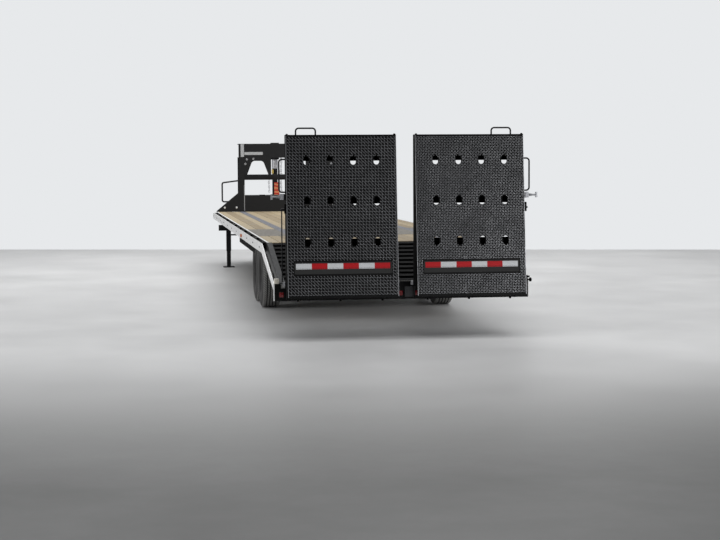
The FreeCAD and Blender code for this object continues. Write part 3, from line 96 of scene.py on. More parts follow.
def powder_coat(name, dark, dust, dust_share, roughness, sheen=0.25):
    """Powder coat: an even colour with a fine orange peel, and dust where it faces up."""
    material, shader, place = start(name, IOR=1.5, Specular_IOR_Level=sheen)
    # dust gathers in clouds about 150 mm wide
    clouds = add(material, "TexNoise", {"Vector": place, "Scale": 7, "Detail": 6,
                                        "Roughness": 0.6}).outputs["Fac"]
    share = add(material, "MapRange", {0: clouds, 1: 0.35, 2: 0.75, 3: 0.02, 4: dust_share}).outputs[0]
    up = facing_up(material, 0.5, 0.95)
    dusty = add(material, "Math", {0: share, 1: up}, operation="MULTIPLY").outputs[0]
    faint = add(material, "Math", {0: share, 1: 0.12, 2: dusty}, operation="MULTIPLY_ADD").outputs[0]
    colour = add(material, "Mix", {0: faint, 6: linear(dark), 7: linear(dust)},
                 data_type="RGBA").outputs[2]
    gloss = add(material, "MapRange", {0: clouds, 3: roughness - 0.06, 4: roughness + 0.14}).outputs[0]
    # orange peel, drawn at 6 mm, about three times its real size, so that it shows
    peel = add(material, "TexNoise", {"Vector": place, "Scale": 160, "Detail": 2}).outputs["Fac"]
    relief = add(material, "Bump", {"Height": peel, "Strength": 0.12, "Distance": 0.002}).outputs[0]
    feed(material, shader, Base_Color=colour, Roughness=gloss, Normal=relief)
    return material


def dress(material, *names):
    """Gives CAD nodes their finish."""
    for name in names:
        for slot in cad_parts[name].material_slots:
            slot.material = material


black_coat = powder_coat("satin_black_powder_coat", "121315", "77767a", 0.16, 0.34)
dress(black_coat, "cross_members", "front_header", "axle_rear", "axle_front", "leaf_springs",
      "spring_hangers", "jack_tubes", "jack_legs", "jack_braces", "neck_risers", "neck_beams",
      "neck_cross_beam", "neck_arch", "coupler_sleeve", "toolbox", "wing_plates", "grab_handles",
      "ramp_hinge_lugs", "toolbox_lid")
matt_coat = powder_coat("chalked_black_coat", "0a0a0b", "4a4947", 0.06, 0.66, 0.03)
dress(matt_coat, "dovetail_bars", "side_skirts", "ramp_left_frame", "ramp_right_frame")

# Deck steel: the same coat, scuffed and faded to a pale grey where the deck is driven on. It is on
# the top flanges of the main beams, on the plates over the wheels and on the dovetail's side members,
# and on the side channels' lips, whose upward faces are near white as a painted highlight.


def deck_steel(name, wear_and_painted_light, lowest):
    """Black coat whose faces above a height turn paler when they face up: wear to grey on most parts, and near
    white on the side lips as a painted highlight.
    """
    material, shader, place = start(name, IOR=1.5, Specular_IOR_Level=0.12)
    scuffs = add(material, "TexNoise", {"Vector": add(material, "Mapping", {0: place, "Scale": (2.5, 0.6,
                                                                                                1)}).outputs[0],
                                        "Scale": 14, "Detail": 8, "Roughness": 0.7}).outputs["Fac"]
    tone = add(material, "ValToRGB", {0: scuffs})
    tone.color_ramp.elements[0].position = 0.3
    tone.color_ramp.elements[0].color = [part * 0.55 for part in linear(wear_and_painted_light)[:3]] + [1]
    tone.color_ramp.elements[1].position = 0.62
    tone.color_ramp.elements[1].color = linear(wear_and_painted_light)
    parts = add(material, "SeparateXYZ", {0: place})
    high = add(material, "Math", {0: parts.outputs["Z"], 1: lowest}, operation="GREATER_THAN").outputs[0]
    share = add(material, "Math", {0: high, 1: facing_up(material, 0.8, 0.95)},
                operation="MULTIPLY").outputs[0]
    colour = add(material, "Mix", {0: share, 6: linear("070708"), 7: tone.outputs[0]},
                 data_type="RGBA").outputs[2]
    gloss = add(material, "MapRange", {0: share, 3: 0.38, 4: 0.58}).outputs[0]
    relief = add(material, "Bump", {"Height": scuffs, "Strength": 0.25, "Distance": 0.001}).outputs[0]
    feed(material, shader, Base_Color=colour, Roughness=gloss, Normal=relief)
    return material


DECK_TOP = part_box("main_beams")[1][2]
dress(deck_steel("scuffed_coat_on_beams", "818289", DECK_TOP - 0.002), "main_beams")
dress(deck_steel("scuffed_coat_on_cover_plates", "87837c", DECK_TOP - 0.002), "wheel_cover_plates")
# painted highlight: the side channels' lips are near white on their upward faces, standing in for the light line
# along the deck's edge
dress(deck_steel("painted_highlight_on_side_lip", "f0f0f0", DECK_TOP - 0.002), "side_channels")
dress(deck_steel("scuffed_coat_on_dovetail", "303133", 0), "dovetail_frame")

# Deck planks: rough sawn treated pine, 38 mm thick, laid lengthways with a gap between them and
# screwed to each cross member. Every plank has its own tone, and its arrises are eased by wear.


def apply(piece, kind, **settings):
    """Adds a modifier with its settings and applies it."""
    modifier = piece.modifiers.new(kind.lower(), kind)
    for name, value in settings.items():
        setattr(modifier, name, value)
    bpy.context.view_layer.objects.active = piece
    bpy.ops.object.modifier_apply(modifier=modifier.name)


def pick(*pieces):
    """Selects these pieces alone and makes the first one active."""
    bpy.ops.object.select_all(action="DESELECT")
    for piece in pieces:
        piece.select_set(True)
    bpy.context.view_layer.objects.active = pieces[0]


def settle(piece, name):
    """Names a piece and puts its place into its mesh."""
    piece.name = name
    pick(piece)
    bpy.ops.object.transform_apply(location=True, rotation=True, scale=True)
    return piece


def shape(primitive, name, **settings):
    """Runs a primitive's operator, and names and settles the piece it makes."""
    primitive(**settings)
    return settle(bpy.context.object, name)


def block(name, low, high, edge=0.002, steps=2):
    """Cube between two opposite corners with its edges rounded."""
    low, high = Vector(map(min, low, high)), Vector(map(max, low, high))
    piece = shape(bpy.ops.mesh.primitive_cube_add, name, size=1, location=(low + high) / 2,
                  scale=high - low)
    if edge:
        apply(piece, "BEVEL", width=edge, segments=steps, limit_method="ANGLE")
    return piece


def joined(name, pieces):
    """Pieces of one kind as one mesh."""
    pick(*pieces)
    if len(pieces) > 1:
        bpy.ops.object.join()
    whole = bpy.context.object
    whole.name = name
    return whole


def mount(piece, body, material, slot, *stands_for):
    """Finish and body of a new piece, and the CAD nodes that it stands for. The slot argument is not used."""
    piece.data.materials.clear()
    piece.data.materials.append(material)
    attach(piece, body)
    if stands_for:
        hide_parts(*stands_for)
    return piece


def smooth(piece, degrees=35):
    pick(piece)
    bpy.ops.object.shade_smooth_by_angle(angle=math.radians(degrees))
    return piece


def grained_pine():
    """Sawn pine: growth rings cut lengthways, paler and darker planks, knots and grey dirt."""
    material, shader, place = start("sawn_treated_pine", IOR=1.5)
    tone = add(material, "Attribute", attribute_name="plank_tone").outputs["Fac"]
    shift = add(material, "CombineXYZ", {0: add(material, "Math", {0: tone, 1: 7},
                                                operation="MULTIPLY").outputs[0], 1: add(material, "Math",
                                                                                         {0: tone, 1: 31},
                                                                                         operation="MULTIPLY").outputs[0]})
    moved = add(material, "VectorMath", {0: place, 1: shift.outputs[0]}, operation="ADD").outputs[0]
    # rings are 4 to 8 mm apart across the plank and run for metres along it
    along = add(material, "Mapping", {0: moved, "Scale": (1, 0.06, 1)}).outputs[0]
    rings = add(material, "TexWave", {"Vector": along, "Scale": 26, "Distortion": 9, "Detail": 3,
                                      "Detail Scale": 1.4, "Detail Roughness": 0.6}, wave_type="BANDS",
                bands_direction="X")
    fibre = add(material, "TexNoise", {"Vector": along, "Scale": 90, "Detail": 5,
                                       "Roughness": 0.65}).outputs["Fac"]
    blotch = add(material, "TexNoise", {"Vector": moved, "Scale": 2.2, "Detail": 4}).outputs["Fac"]
    knots = add(material, "TexVoronoi", {"Vector": add(material, "Mapping", {0: moved, "Scale": (1.5, 0.9,
                                                                                                 1)}).outputs[0],
                                         "Scale": 2.1}, feature="F1")
    pale = add(material, "ValToRGB", {0: tone})
    pale.color_ramp.elements[0].color = linear("8c7c62")
    pale.color_ramp.elements[1].color = linear("b9aa8b")
    middle = pale.color_ramp.elements.new(0.5)
    middle.color = linear("a59475")
    ring_share = add(material, "Math", {0: rings.outputs["Fac"], 1: 0.34},
                     operation="MULTIPLY").outputs[0]
    ringed = add(material, "Mix", {0: ring_share, 6: pale.outputs[0], 7: linear("6c5639")},
                 data_type="RGBA").outputs[2]
    grey_share = add(material, "MapRange", {0: blotch, 1: 0.45, 2: 0.8, 3: 0, 4: 0.5}).outputs[0]
    weathered = add(material, "Mix", {0: grey_share, 6: ringed, 7: linear("938f85")},
                    data_type="RGBA").outputs[2]
    knot_share = add(material, "MapRange", {0: knots.outputs["Distance"], 1: 0.035, 2: 0.012, 3: 0,
                                            4: 0.8}).outputs[0]
    knotted = add(material, "Mix", {0: knot_share, 6: weathered, 7: linear("5a3d20")},
                  data_type="RGBA").outputs[2]
    height = add(material, "Math", {0: rings.outputs["Fac"], 1: fibre}, operation="ADD").outputs[0]
    relief = add(material, "Bump", {"Height": height, "Strength": 0.5, "Distance": 0.0015}).outputs[0]
    gloss = add(material, "MapRange", {0: fibre, 3: 0.62, 4: 0.82}).outputs[0]
    feed(material, shader, Base_Color=knotted, Roughness=gloss, Normal=relief)
    return material


pine = grained_pine()
chance = random.Random(7)
PLANK_GAP = 0.004
MIDDLE_PLANKS = 11
OUTER_PLANKS = 3
beam_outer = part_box("main_beams")[1][0]
beam_inner = beam_outer - 0.1
deck_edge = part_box("wheel_cover_plates")[1][0]
ROWS = []
pitch = (2 * beam_inner + PLANK_GAP) / MIDDLE_PLANKS
for i in range(MIDDLE_PLANKS):
    ROWS.append((-beam_inner + i * pitch, pitch - PLANK_GAP))
pitch = (deck_edge - beam_outer + PLANK_GAP) / OUTER_PLANKS
for i in range(OUTER_PLANKS):
    ROWS.append((beam_outer + i * pitch, pitch - PLANK_GAP))
    ROWS.append((-beam_outer - i * pitch - pitch + PLANK_GAP, pitch - PLANK_GAP))
for name in ("deck_boards_rear", "deck_boards_front"):
    low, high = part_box(name)
    planks = []
    for i, (x, width) in enumerate(ROWS):
        # a plank shrinks or cups by up to 1 mm, always down from the deck's level
        sag = chance.uniform(0, 0.0012)
        plank = block("plank", (x + chance.uniform(0, 0.001), low[1] + 0.001, low[2]),
                      (x + width - chance.uniform(0, 0.001), high[1] - 0.001, high[2] - sag), 0.003)
        tone = plank.data.attributes.new("plank_tone", "FLOAT", "POINT")
        shade = chance.random()
        for point in tone.data:
            point.value = shade
        planks.append(plank)
    mount(joined("planks_" + name[12:], planks), "chassis", pine, "treated_pine", name)

# Deck screws: self tapping flat heads, blackened by weather, two in each plank at each cross
# member. They are driven through the plank into the channel below.
SCREW_RADIUS = 0.0055
screws = []
member_ys = sorted({round(v.co.y, 3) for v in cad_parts["cross_members"].data.vertices})
stations = [a + 0.019 for a, b in zip(member_ys, member_ys[1:]) if abs(b - a - 0.033) < 0.0015]
for x, width in ROWS:
    for share in (0.22, 0.78):
        screws.append(shape(bpy.ops.mesh.primitive_cylinder_add, "screw", vertices=8, radius=SCREW_RADIUS,
                            depth=0.002, location=(x + width * share, stations[0], DECK_TOP - 0.0008)))
screw_row = joined("screws", screws)
copies = []
for y in stations[1:]:
    pick(screw_row)
    bpy.ops.object.duplicate()
    copy = bpy.context.object
    copy.location.y = y - stations[0]
    copies.append(settle(copy, "screws"))
worn_zinc, shader, place = start("weathered_zinc_plate", Metallic=1.0)
spots = add(worn_zinc, "TexNoise", {"Vector": place, "Scale": 60, "Detail": 5}).outputs["Fac"]
tone = add(worn_zinc, "Mix", {0: spots, 6: linear("77777a"), 7: linear("b4b5b8")},
           data_type="RGBA").outputs[2]
gloss = add(worn_zinc, "MapRange", {0: spots, 3: 0.3, 4: 0.55}).outputs[0]
feed(worn_zinc, shader, Base_Color=tone, Roughness=gloss)
mount(joined("deck_screws", [screw_row] + copies), "chassis", worn_zinc, "bare_steel")

# Rub rails: 10 mm flat bar along both sides, painted pale grey so that the trailer's edge shows at
# night, plug welded to the stake pockets. Road dirt streaks it from the top down.
rail_paint, shader, place = start("pale_grey_rail_enamel", IOR=1.5)
streaks = add(rail_paint, "TexNoise", {"Vector": add(rail_paint, "Mapping", {0: place, "Scale": (1, 1.2,
                                                                                                 0.25)}).outputs[0],
                                       "Scale": 24, "Detail": 6, "Roughness": 0.65}).outputs["Fac"]
dirt = add(rail_paint, "MapRange", {0: streaks, 1: 0.52, 2: 0.8, 3: 0, 4: 0.4}).outputs[0]
tone = add(rail_paint, "Mix", {0: dirt, 6: linear("f4f4f4"), 7: linear("a3a19c")},
           data_type="RGBA").outputs[2]
gloss = add(rail_paint, "MapRange", {0: dirt, 3: 0.3, 4: 0.6}).outputs[0]
feed(rail_paint, shader, Base_Color=tone, Roughness=gloss)
dress(rail_paint, "rub_rails")
# the pockets behind the rail stay black but for the enamel that caught their rims
dress(deck_steel("enamel_on_pocket_rims", "e4e4e2", 0.862), "stake_pockets")
rail_low, rail_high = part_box("rub_rails")
cream, shader, place = start("cream_enamel", IOR=1.5)
specks = add(cream, "TexNoise", {"Vector": place, "Scale": 90, "Detail": 5}).outputs["Fac"]
tone = add(cream, "Mix", {0: specks, 6: linear("cfc8b8"), 7: linear("ece7dc")},
           data_type="RGBA").outputs[2]
gloss = add(cream, "MapRange", {0: specks, 3: 0.3, 4: 0.5}).outputs[0]
feed(cream, shader, Base_Color=tone, Roughness=gloss)
ends = [block("end", (x, rail_low[1] + 0.001, 0.532), (x + inward, rail_low[1] + 0.062, 0.59), 0.005, 3)
        for x, inward in ((rail_low[0] + 0.01, 0.045), (rail_high[0] - 0.01, -0.045))]
mount(smooth(joined("rail_end_blocks", ends)), "chassis", cream, "white_rail_paint")
POCKET_PITCH = 1.016
POCKETS = 11
WELD_Z = 0.815
pocket_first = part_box("deck_boards_rear")[0][1] + POCKET_PITCH / 4
welds = []
for x in (rail_low[0], rail_high[0]):
    for i in range(POCKETS):
        for shift in (-0.004, 0.064):
            welds.append(shape(bpy.ops.mesh.primitive_uv_sphere_add, "weld", segments=12, ring_count=6,
                               radius=0.01, location=(x, pocket_first + i * POCKET_PITCH + shift, WELD_Z),
                               scale=(0.3, 1, 1)))
black_weld = powder_coat("coated_weld_bead", "2a2a2c", "5c5b59", 0.3, 0.45)
mount(smooth(joined("rail_plug_welds", welds)), "chassis", black_weld, "black_powder_coat")

# Side markers: small amber lamps on rubber grommets, let into the rub rail above the skirt.
amber, shader, place = start("amber_acrylic_lens", Base_Color=linear("c4621a"), Roughness=0.12, IOR=1.49)
ribs = add(amber, "TexWave", {"Vector": place, "Scale": 60}, bands_direction="Z")
relief = add(amber, "Bump", {"Height": ribs.outputs["Fac"], "Strength": 0.5,
                             "Distance": 0.001}).outputs[0]
feed(amber, shader, Normal=relief)
MARKER_Y = -2.52
for side, x, sign in (("left", rail_low[0], -1), ("right", rail_high[0], 1)):
    lens = block("marker", (x, MARKER_Y - 0.045, 0.785),
                 (x + sign * 0.018, MARKER_Y + 0.045, 0.825), 0.008, 4)
    mount(smooth(lens), "chassis", amber, "red_lens").name = "side_marker_" + side

# Rear lamps: red acrylic lenses in rubber grommets, pressed into holes of the bumper's rear wall.
# The lens is moulded with fine upright ribs and a plain rim.
red, shader, place = start("red_acrylic_lens", Base_Color=linear("740b12"), Roughness=0.1, IOR=1.49)
ribs = add(red, "TexWave", {"Vector": place, "Scale": 70}, bands_direction="X")
relief = add(red, "Bump", {"Height": ribs.outputs["Fac"], "Strength": 0.6, "Distance": 0.001}).outputs[0]
feed(red, shader, Normal=relief)
rubber, shader, place = start("black_moulded_rubber", Roughness=0.7)
grain = add(rubber, "TexNoise", {"Vector": place, "Scale": 300, "Detail": 2}).outputs["Fac"]
tone = add(rubber, "Mix", {0: grain, 6: linear("131313"), 7: linear("222222")},
           data_type="RGBA").outputs[2]
feed(rubber, shader, Base_Color=tone)
dress(deck_steel("rubbed_coat_on_bumper", "b4b3b0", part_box("rear_bumper")[1][2] - 0.002), "rear_bumper")
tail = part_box("rear_bumper")[0][1]
lamp_low, lamp_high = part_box("tail_lamps")
lamp_z = (lamp_low[2] + lamp_high[2]) / 2
lenses = []
grommets = []
LAMPS = [(lamp_low[0] + 0.027, 0.054, 0.062), (-0.181, 0.05, 0.058), (-0.018, 0.05, 0.058),
         (0.145, 0.05, 0.058), (lamp_high[0] - 0.027, 0.054, 0.062)]
for x, width, height in LAMPS:
    lenses.append(block("lens", (x - width / 2 + 0.005, tail - 0.006, lamp_z - height / 2 + 0.005),
                        (x + width / 2 - 0.005, tail + 0.02, lamp_z + height / 2 - 0.005), 0.006, 4))
    ring = block("grommet", (x - width / 2 + 0.001, tail - 0.002, lamp_z - height / 2 + 0.001),
                 (x + width / 2 - 0.001, tail + 0.02, lamp_z + height / 2 - 0.001), 0.004, 3)
    grommets.append(ring)
mount(smooth(joined("tail_lamp_lenses", lenses)), "chassis", red, "red_lens", "tail_lamps")
mount(smooth(joined("tail_lamp_grommets", grommets)), "chassis", rubber, "tyre_rubber")

# Number plate holder: a blank plate of black moulded plastic on two bolts, right of the middle of
# the bumper.
holder = block("plate_holder", (0.02, tail - 0.01, 0.392), (0.112, tail, 0.496), 0.003)
grey_plastic, shader, place = start("dark_grey_moulded_plastic", Roughness=0.5, IOR=1.46)
grain = add(grey_plastic, "TexNoise", {"Vector": place, "Scale": 220, "Detail": 3}).outputs["Fac"]
tone = add(grey_plastic, "Mix", {0: grain, 6: linear("303133"), 7: linear("3e3f41")},
           data_type="RGBA").outputs[2]
feed(grey_plastic, shader, Base_Color=tone)
mount(holder, "chassis", grey_plastic, "black_powder_coat")

# Tyres: 235/80 R16 radials for trailers, with five ribs and four grooves round the tread, sipes
# across them, and a moulded side wall with rim guard and stepped rings.


def turned(name, centre, profile, steps):
    """Profile of (across, radius) points spun about the axle through a centre."""
    bpy.ops.mesh.primitive_plane_add(size=0.01, location=(0, 0, 0))
    piece = bpy.context.object
    bpy.ops.object.mode_set(mode="EDIT")
    bpy.ops.mesh.select_mode(type="VERT")
    bpy.ops.mesh.merge(type="CENTER")
    bpy.ops.transform.translate(value=(profile[0][0], 0, profile[0][1]))
    for before, after in zip(profile, profile[1:]):
        step = (after[0] - before[0], 0, after[1] - before[1])
        bpy.ops.mesh.extrude_region_move(TRANSFORM_OT_translate={"value": step})
    bpy.ops.mesh.select_all(action="SELECT")
    bpy.ops.mesh.spin(steps=steps, angle=2 * math.pi, center=(0, 0, 0), axis=(1, 0, 0))
    bpy.ops.mesh.select_all(action="SELECT")
    bpy.ops.mesh.remove_doubles(threshold=0.00005)
    bpy.ops.mesh.normals_make_consistent(inside=False)
    bpy.ops.object.mode_set(mode="OBJECT")
    piece.location = centre
    return settle(piece, name)


def tyre_rubber(centre):
    """Tread rubber: dusty black, with sipes across the ribs laid out by the angle about the axle."""
    material, shader, place = start("tyre_rubber", Roughness=0.75)
    local = add(material, "VectorMath", {0: place, 1: centre}, operation="SUBTRACT")
    parts = add(material, "SeparateXYZ", {0: local.outputs[0]})
    angle = add(material, "Math", {0: parts.outputs["Y"], 1: parts.outputs["Z"]},
                operation="ARCTAN2").outputs[0]
    lean = add(material, "Math", {0: parts.outputs["X"], 1: 2.2, 2: angle},
               operation="MULTIPLY_ADD").outputs[0]
    # 84 sipes round the tyre, 29 mm apart
    wave = add(material, "Math", {0: lean, 1: 84}, operation="MULTIPLY").outputs[0]
    crest = add(material, "Math", {0: wave}, operation="SINE").outputs[0]
    across = add(material, "CombineXYZ", {1: parts.outputs["Y"], 2: parts.outputs["Z"]})
    radius = add(material, "VectorMath", {0: across.outputs[0]}, operation="LENGTH")
    on_tread = add(material, "MapRange", {0: radius.outputs["Value"], 1: 0.372, 2: 0.38, 3: 0,
                                          4: 1}).outputs[0]
    cut = add(material, "MapRange", {0: crest, 1: 0.72, 2: 0.95, 3: 0, 4: 1}).outputs[0]
    sipe = add(material, "Math", {0: cut, 1: on_tread}, operation="MULTIPLY").outputs[0]
    dust = add(material, "TexNoise", {"Vector": place, "Scale": 16, "Detail": 7,
                                      "Roughness": 0.7}).outputs["Fac"]
    pale = add(material, "Mix", {0: dust, 6: linear("686867"), 7: linear("a09f9c")},
               data_type="RGBA").outputs[2]
    dark = add(material, "Mix", {0: dust, 6: linear("262626"), 7: linear("4c4b4a")},
               data_type="RGBA").outputs[2]
    # the road scrubs the tread pale, and the side wall stays dark
    colour = add(material, "Mix", {0: on_tread, 6: dark, 7: pale}, data_type="RGBA").outputs[2]
    # painted shade: the grooves and the sipes are coloured near black, standing in for the shade inside them
    aside = add(material, "Math", {0: parts.outputs["X"]}, operation="ABSOLUTE").outputs[0]
    inner = add(material, "Math", {0: aside, 1: 0.07}, operation="LESS_THAN").outputs[0]
    low = add(material, "MapRange", {0: radius.outputs["Value"], 1: 0.3895, 2: 0.3865, 3: 0,
                                     4: 1}).outputs[0]
    groove_shade_mask = add(material, "Math", {0: inner, 1: low}, operation="MULTIPLY").outputs[0]
    both = add(material, "Math", {0: groove_shade_mask, 1: sipe}, operation="MAXIMUM").outputs[0]
    darker = add(material, "Mix", {0: both, 6: colour, 7: linear("060606")}, data_type="RGBA").outputs[2]
    depth = add(material, "Math", {0: sipe, 1: -1}, operation="MULTIPLY").outputs[0]
    relief = add(material, "Bump", {"Height": depth, "Strength": 0.8, "Distance": 0.003}).outputs[0]
    feed(material, shader, Base_Color=darker, Normal=relief)
    return material


TYRE_RADIUS = 0.391
TREAD_HALF = 0.095
GROOVE = 0.012
half = [(0.0875, 0.209), (0.100, 0.214), (0.108, 0.222), (0.1135, 0.24), (0.117, 0.268), (0.1175, 0.292),
        (0.1165, 0.312), (0.1145, 0.314), (0.1145, 0.322), (0.1125, 0.336), (0.1095, 0.352), (0.106, 0.364),
        (0.1015, 0.375), (TREAD_HALF, 0.3835), (0.086, 0.3878), (0.063, 0.3895)]
for place_x, wide in ((0.054, 0.0065), (0.019, 0.0062)):
    half += [(place_x + wide, 0.3902), (place_x + wide - 0.001, TYRE_RADIUS - GROOVE),
             (place_x - wide + 0.001, TYRE_RADIUS - GROOVE), (place_x - wide, 0.3906)]
tyre_profile = [(-across, radius) for across, radius in half] + [(0, TYRE_RADIUS)] + half[::-1]

# Wheels: 16 in steel wheels with a pressed disc, eight hand holes and eight nuts, painted black,
# welded into a rolled rim. The hub carries a zinc plated grease cap.
rim_coat = powder_coat("black_wheel_enamel", "1a1a1b", "6e6c69", 0.35, 0.32)
NUT_CIRCLE = 0.0826
for side, sign in (("left", -1), ("right", 1)):
    for axle in ("rear", "front"):
        body = "wheel_%s_%s" % (side, axle)
        low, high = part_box("tyre_%s_%s" % (side, axle))
        centre = Vector([(a + b) / 2 for a, b in zip(low, high)])
        tyre = turned("tyre", centre, tyre_profile, 96)
        mount(smooth(tyre, 28), body, tyre_rubber(centre), "tyre_rubber", "tyre_%s_%s" % (side, axle))
        tyre.name = "tyre_%s_%s_tread" % (side, axle)
        barrel = [(-0.09, 0.2225), (-0.0885, 0.2245), (-0.0865, 0.2225), (-0.084, 0.209), (-0.062, 0.206),
                  (-0.05, 0.19), (0.015, 0.187), (0.045, 0.191), (0.06, 0.205), (0.084, 0.209),
                  (0.0865, 0.2225), (0.0885, 0.2245), (0.09, 0.2225), (0.087, 0.205), (0.064, 0.2015),
                  (0.049, 0.187), (0.015, 0.183), (-0.052, 0.186), (-0.064, 0.202), (-0.087, 0.205),
                  (-0.09, 0.2225)]
        disc = [(0.02, 0.183), (0.034, 0.168), (0.05, 0.148), (0.058, 0.128), (0.052, 0.112), (0.044, 0.1),
                (0.044, 0.062), (0.036, 0.062), (0.036, 0.1), (0.044, 0.114), (0.049, 0.128),
                (0.042, 0.145), (0.027, 0.164), (0.012, 0.183), (0.02, 0.183)]
        shell = turned("barrel", centre, [(sign * a, r) for a, r in barrel], 64)
        face = turned("disc", centre, [(sign * a, r) for a, r in disc], 64)
        cutters = []
        for i in range(8):
            turn = math.radians(45 * i + 22.5)
            cutters.append(shape(bpy.ops.mesh.primitive_cylinder_add, "cutter", vertices=20, radius=0.014,
                                 depth=0.12, rotation=(0, math.pi / 2, 0),
                                 location=centre + Vector((sign * 0.04, 0.14 * math.sin(turn),
                                                           0.14 * math.cos(turn)))))
        cutter = joined("cutter", cutters)
        apply(face, "BOOLEAN", object=cutter, operation="DIFFERENCE", solver="EXACT")
        bpy.data.objects.remove(cutter)
        wheel = joined("rim_%s_%s_wheel" % (side, axle), [shell, face])
        mount(smooth(wheel, 32), body, rim_coat, "rim_paint", "rim_%s_%s" % (side, axle))
        cap = [(0.036, 0.0), (0.036, 0.062), (0.052, 0.061), (0.054, 0.05), (0.07, 0.047), (0.079, 0.04),
               (0.0835, 0.026), (0.084, 0.0)]
        parts = [turned("cap", centre, [(sign * a, r) for a, r in cap], 40)]
        for i in range(8):
            turn = math.radians(45 * i)
            parts.append(shape(bpy.ops.mesh.primitive_cone_add, "nut", vertices=6, radius1=0.0135,
                               radius2=0.0115, depth=0.022, rotation=(0, sign * math.pi / 2, 0),
                               location=centre + Vector((sign * 0.055, NUT_CIRCLE * math.sin(turn),
                                                         NUT_CIRCLE * math.cos(turn)))))
        drum = [(-0.075, 0.0), (-0.075, 0.148), (-0.07, 0.152), (-0.02, 0.152), (-0.015, 0.145), (0.03, 0.12),
                (0.036, 0.1), (0.036, 0.0)]
        hub = joined(body + "_hub_and_nuts", parts)
        mount(smooth(hub, 30), body, worn_zinc, "bare_steel")
        drum = turned(body + "_brake_drum", centre, [(sign * a, r) for a, r in drum], 40)
        mount(smooth(drum, 30), body, rim_coat, "rim_paint")

# Ramps: welded frames of plate ribs and angle bar rungs, faced with chequered tread plate, all
# powder coated black. The raised lugs are coloured pale grey, a painted highlight for their glints.
tread_coat = powder_coat("black_coated_tread_plate", "060607", "303032", 0.14, 0.34, 0.1)
# painted highlight: the lugs' pale grey colour stands in for the glints on them
lug_glint_coat, shader, place = start("painted_glint_on_lugs", Metallic=0.6)
glint_patches = add(lug_glint_coat, "TexNoise", {"Vector": place, "Scale": 5, "Detail": 8,
                                  "Roughness": 0.7}).outputs["Fac"]
tone = add(lug_glint_coat, "Mix", {0: glint_patches, 6: linear("333437"), 7: linear("a4a5a8")},
           data_type="RGBA").outputs[2]
gloss = add(lug_glint_coat, "MapRange", {0: glint_patches, 3: 0.36, 4: 0.2}).outputs[0]
feed(lug_glint_coat, shader, Base_Color=tone, Roughness=gloss)
dress(tread_coat, "ramp_left_tread", "ramp_right_tread")
fittings_coat = powder_coat("black_coat_with_zinc_latch", "121315", "77767a", 0.16, 0.34)
tree = fittings_coat.node_tree
shader = next(node for node in tree.nodes if node.type == "BSDF_PRINCIPLED")
black = shader.inputs["Base Color"].links[0].from_socket
place = next(node for node in tree.nodes if node.type == "TEX_COORD").outputs["Object"]
parts = add(fittings_coat, "SeparateXYZ", {0: place})
aside = add(fittings_coat, "Math", {0: parts.outputs["X"]}, operation="ABSOLUTE").outputs[0]
# the latch bolt lies 1.407 m up and more than 1.206 m from the middle
out_far = add(fittings_coat, "Math", {0: aside, 1: 1.206}, operation="GREATER_THAN").outputs[0]
level = add(fittings_coat, "Math", {0: parts.outputs["Z"], 1: 1.407, 2: 0.03},
            operation="COMPARE").outputs[0]
bolt = add(fittings_coat, "Math", {0: out_far, 1: level}, operation="MULTIPLY").outputs[0]
tone = add(fittings_coat, "Mix", {0: bolt, 6: black, 7: linear("919296")}, data_type="RGBA").outputs[2]
feed(fittings_coat, shader, Base_Color=tone, Metallic=bolt)
dress(fittings_coat, "ramp_left_fittings", "ramp_right_fittings")
TREAD = 0.006
LUG_PITCH = 0.0162
LUG_LONG = 0.0188
LUG_WIDE = 0.0062
LUG_HIGH = 0.0015
HOLES_ACROSS = [(i - 1.5) * 0.230 for i in range(4)]
HOLES_UP = [0.547 + 0.4 * i for i in range(3)]
HOLE = (0.027, 0.044)
WINDOW_UP = (0.2345, 0.3515)
WINDOW_MARGIN = 0.066
tread_low, tread_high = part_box("ramp_right_tread")
ramp_width = tread_high[0] - tread_low[0]
lean = math.atan2(tread_high[1] - tread_low[1] - TREAD, tread_high[2] - tread_low[2])
ramp_length = (tread_high[2] - tread_low[2]) / math.cos(lean)


def on_tread(piece, name, side):
    """Stands a piece drawn flat (across, up the plate, out of it) on a ramp's tread plate."""
    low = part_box("ramp_%s_tread" % side)[0]
    piece.rotation_euler = (math.pi / 2 - lean, 0, 0)
    piece.location = (low[0] + ramp_width / 2, low[1] + TREAD, low[2])
    return settle(piece, name)


def lug(x, y, turn):
    piece = shape(bpy.ops.mesh.primitive_cone_add, "lug", vertices=6, radius1=0.5, radius2=0.3, depth=1,
                  location=(x, y, 0), rotation=(0, 0, turn), scale=(LUG_LONG, LUG_WIDE, LUG_HIGH))
    for face in piece.data.polygons:
        face.select = face.normal.z < -0.9
    bpy.ops.object.mode_set(mode="EDIT")
    bpy.ops.mesh.select_mode(type="FACE")
    bpy.ops.mesh.delete(type="FACE")
    bpy.ops.object.mode_set(mode="OBJECT")
    return piece


def clear_of_openings(x, y):
    """True where a lug doesn't reach into a hole, the tape's window or the plate's edges."""
    reach = LUG_LONG / 2
    if abs(x) > ramp_width / 2 - reach or not 0.02 < y < ramp_length - 0.012:
        return False
    for across in HOLES_ACROSS:
        for up in HOLES_UP:
            # each hole is a slot with round ends
            beyond = max(0, abs(y - up) - (HOLE[1] - HOLE[0]))
            if math.hypot(x - across, beyond) < HOLE[0] + reach * 0.35:
                return False
    inside = abs(x) < ramp_width / 2 - WINDOW_MARGIN + reach
    return not (inside and WINDOW_UP[0] - reach < y < WINDOW_UP[1] + reach)


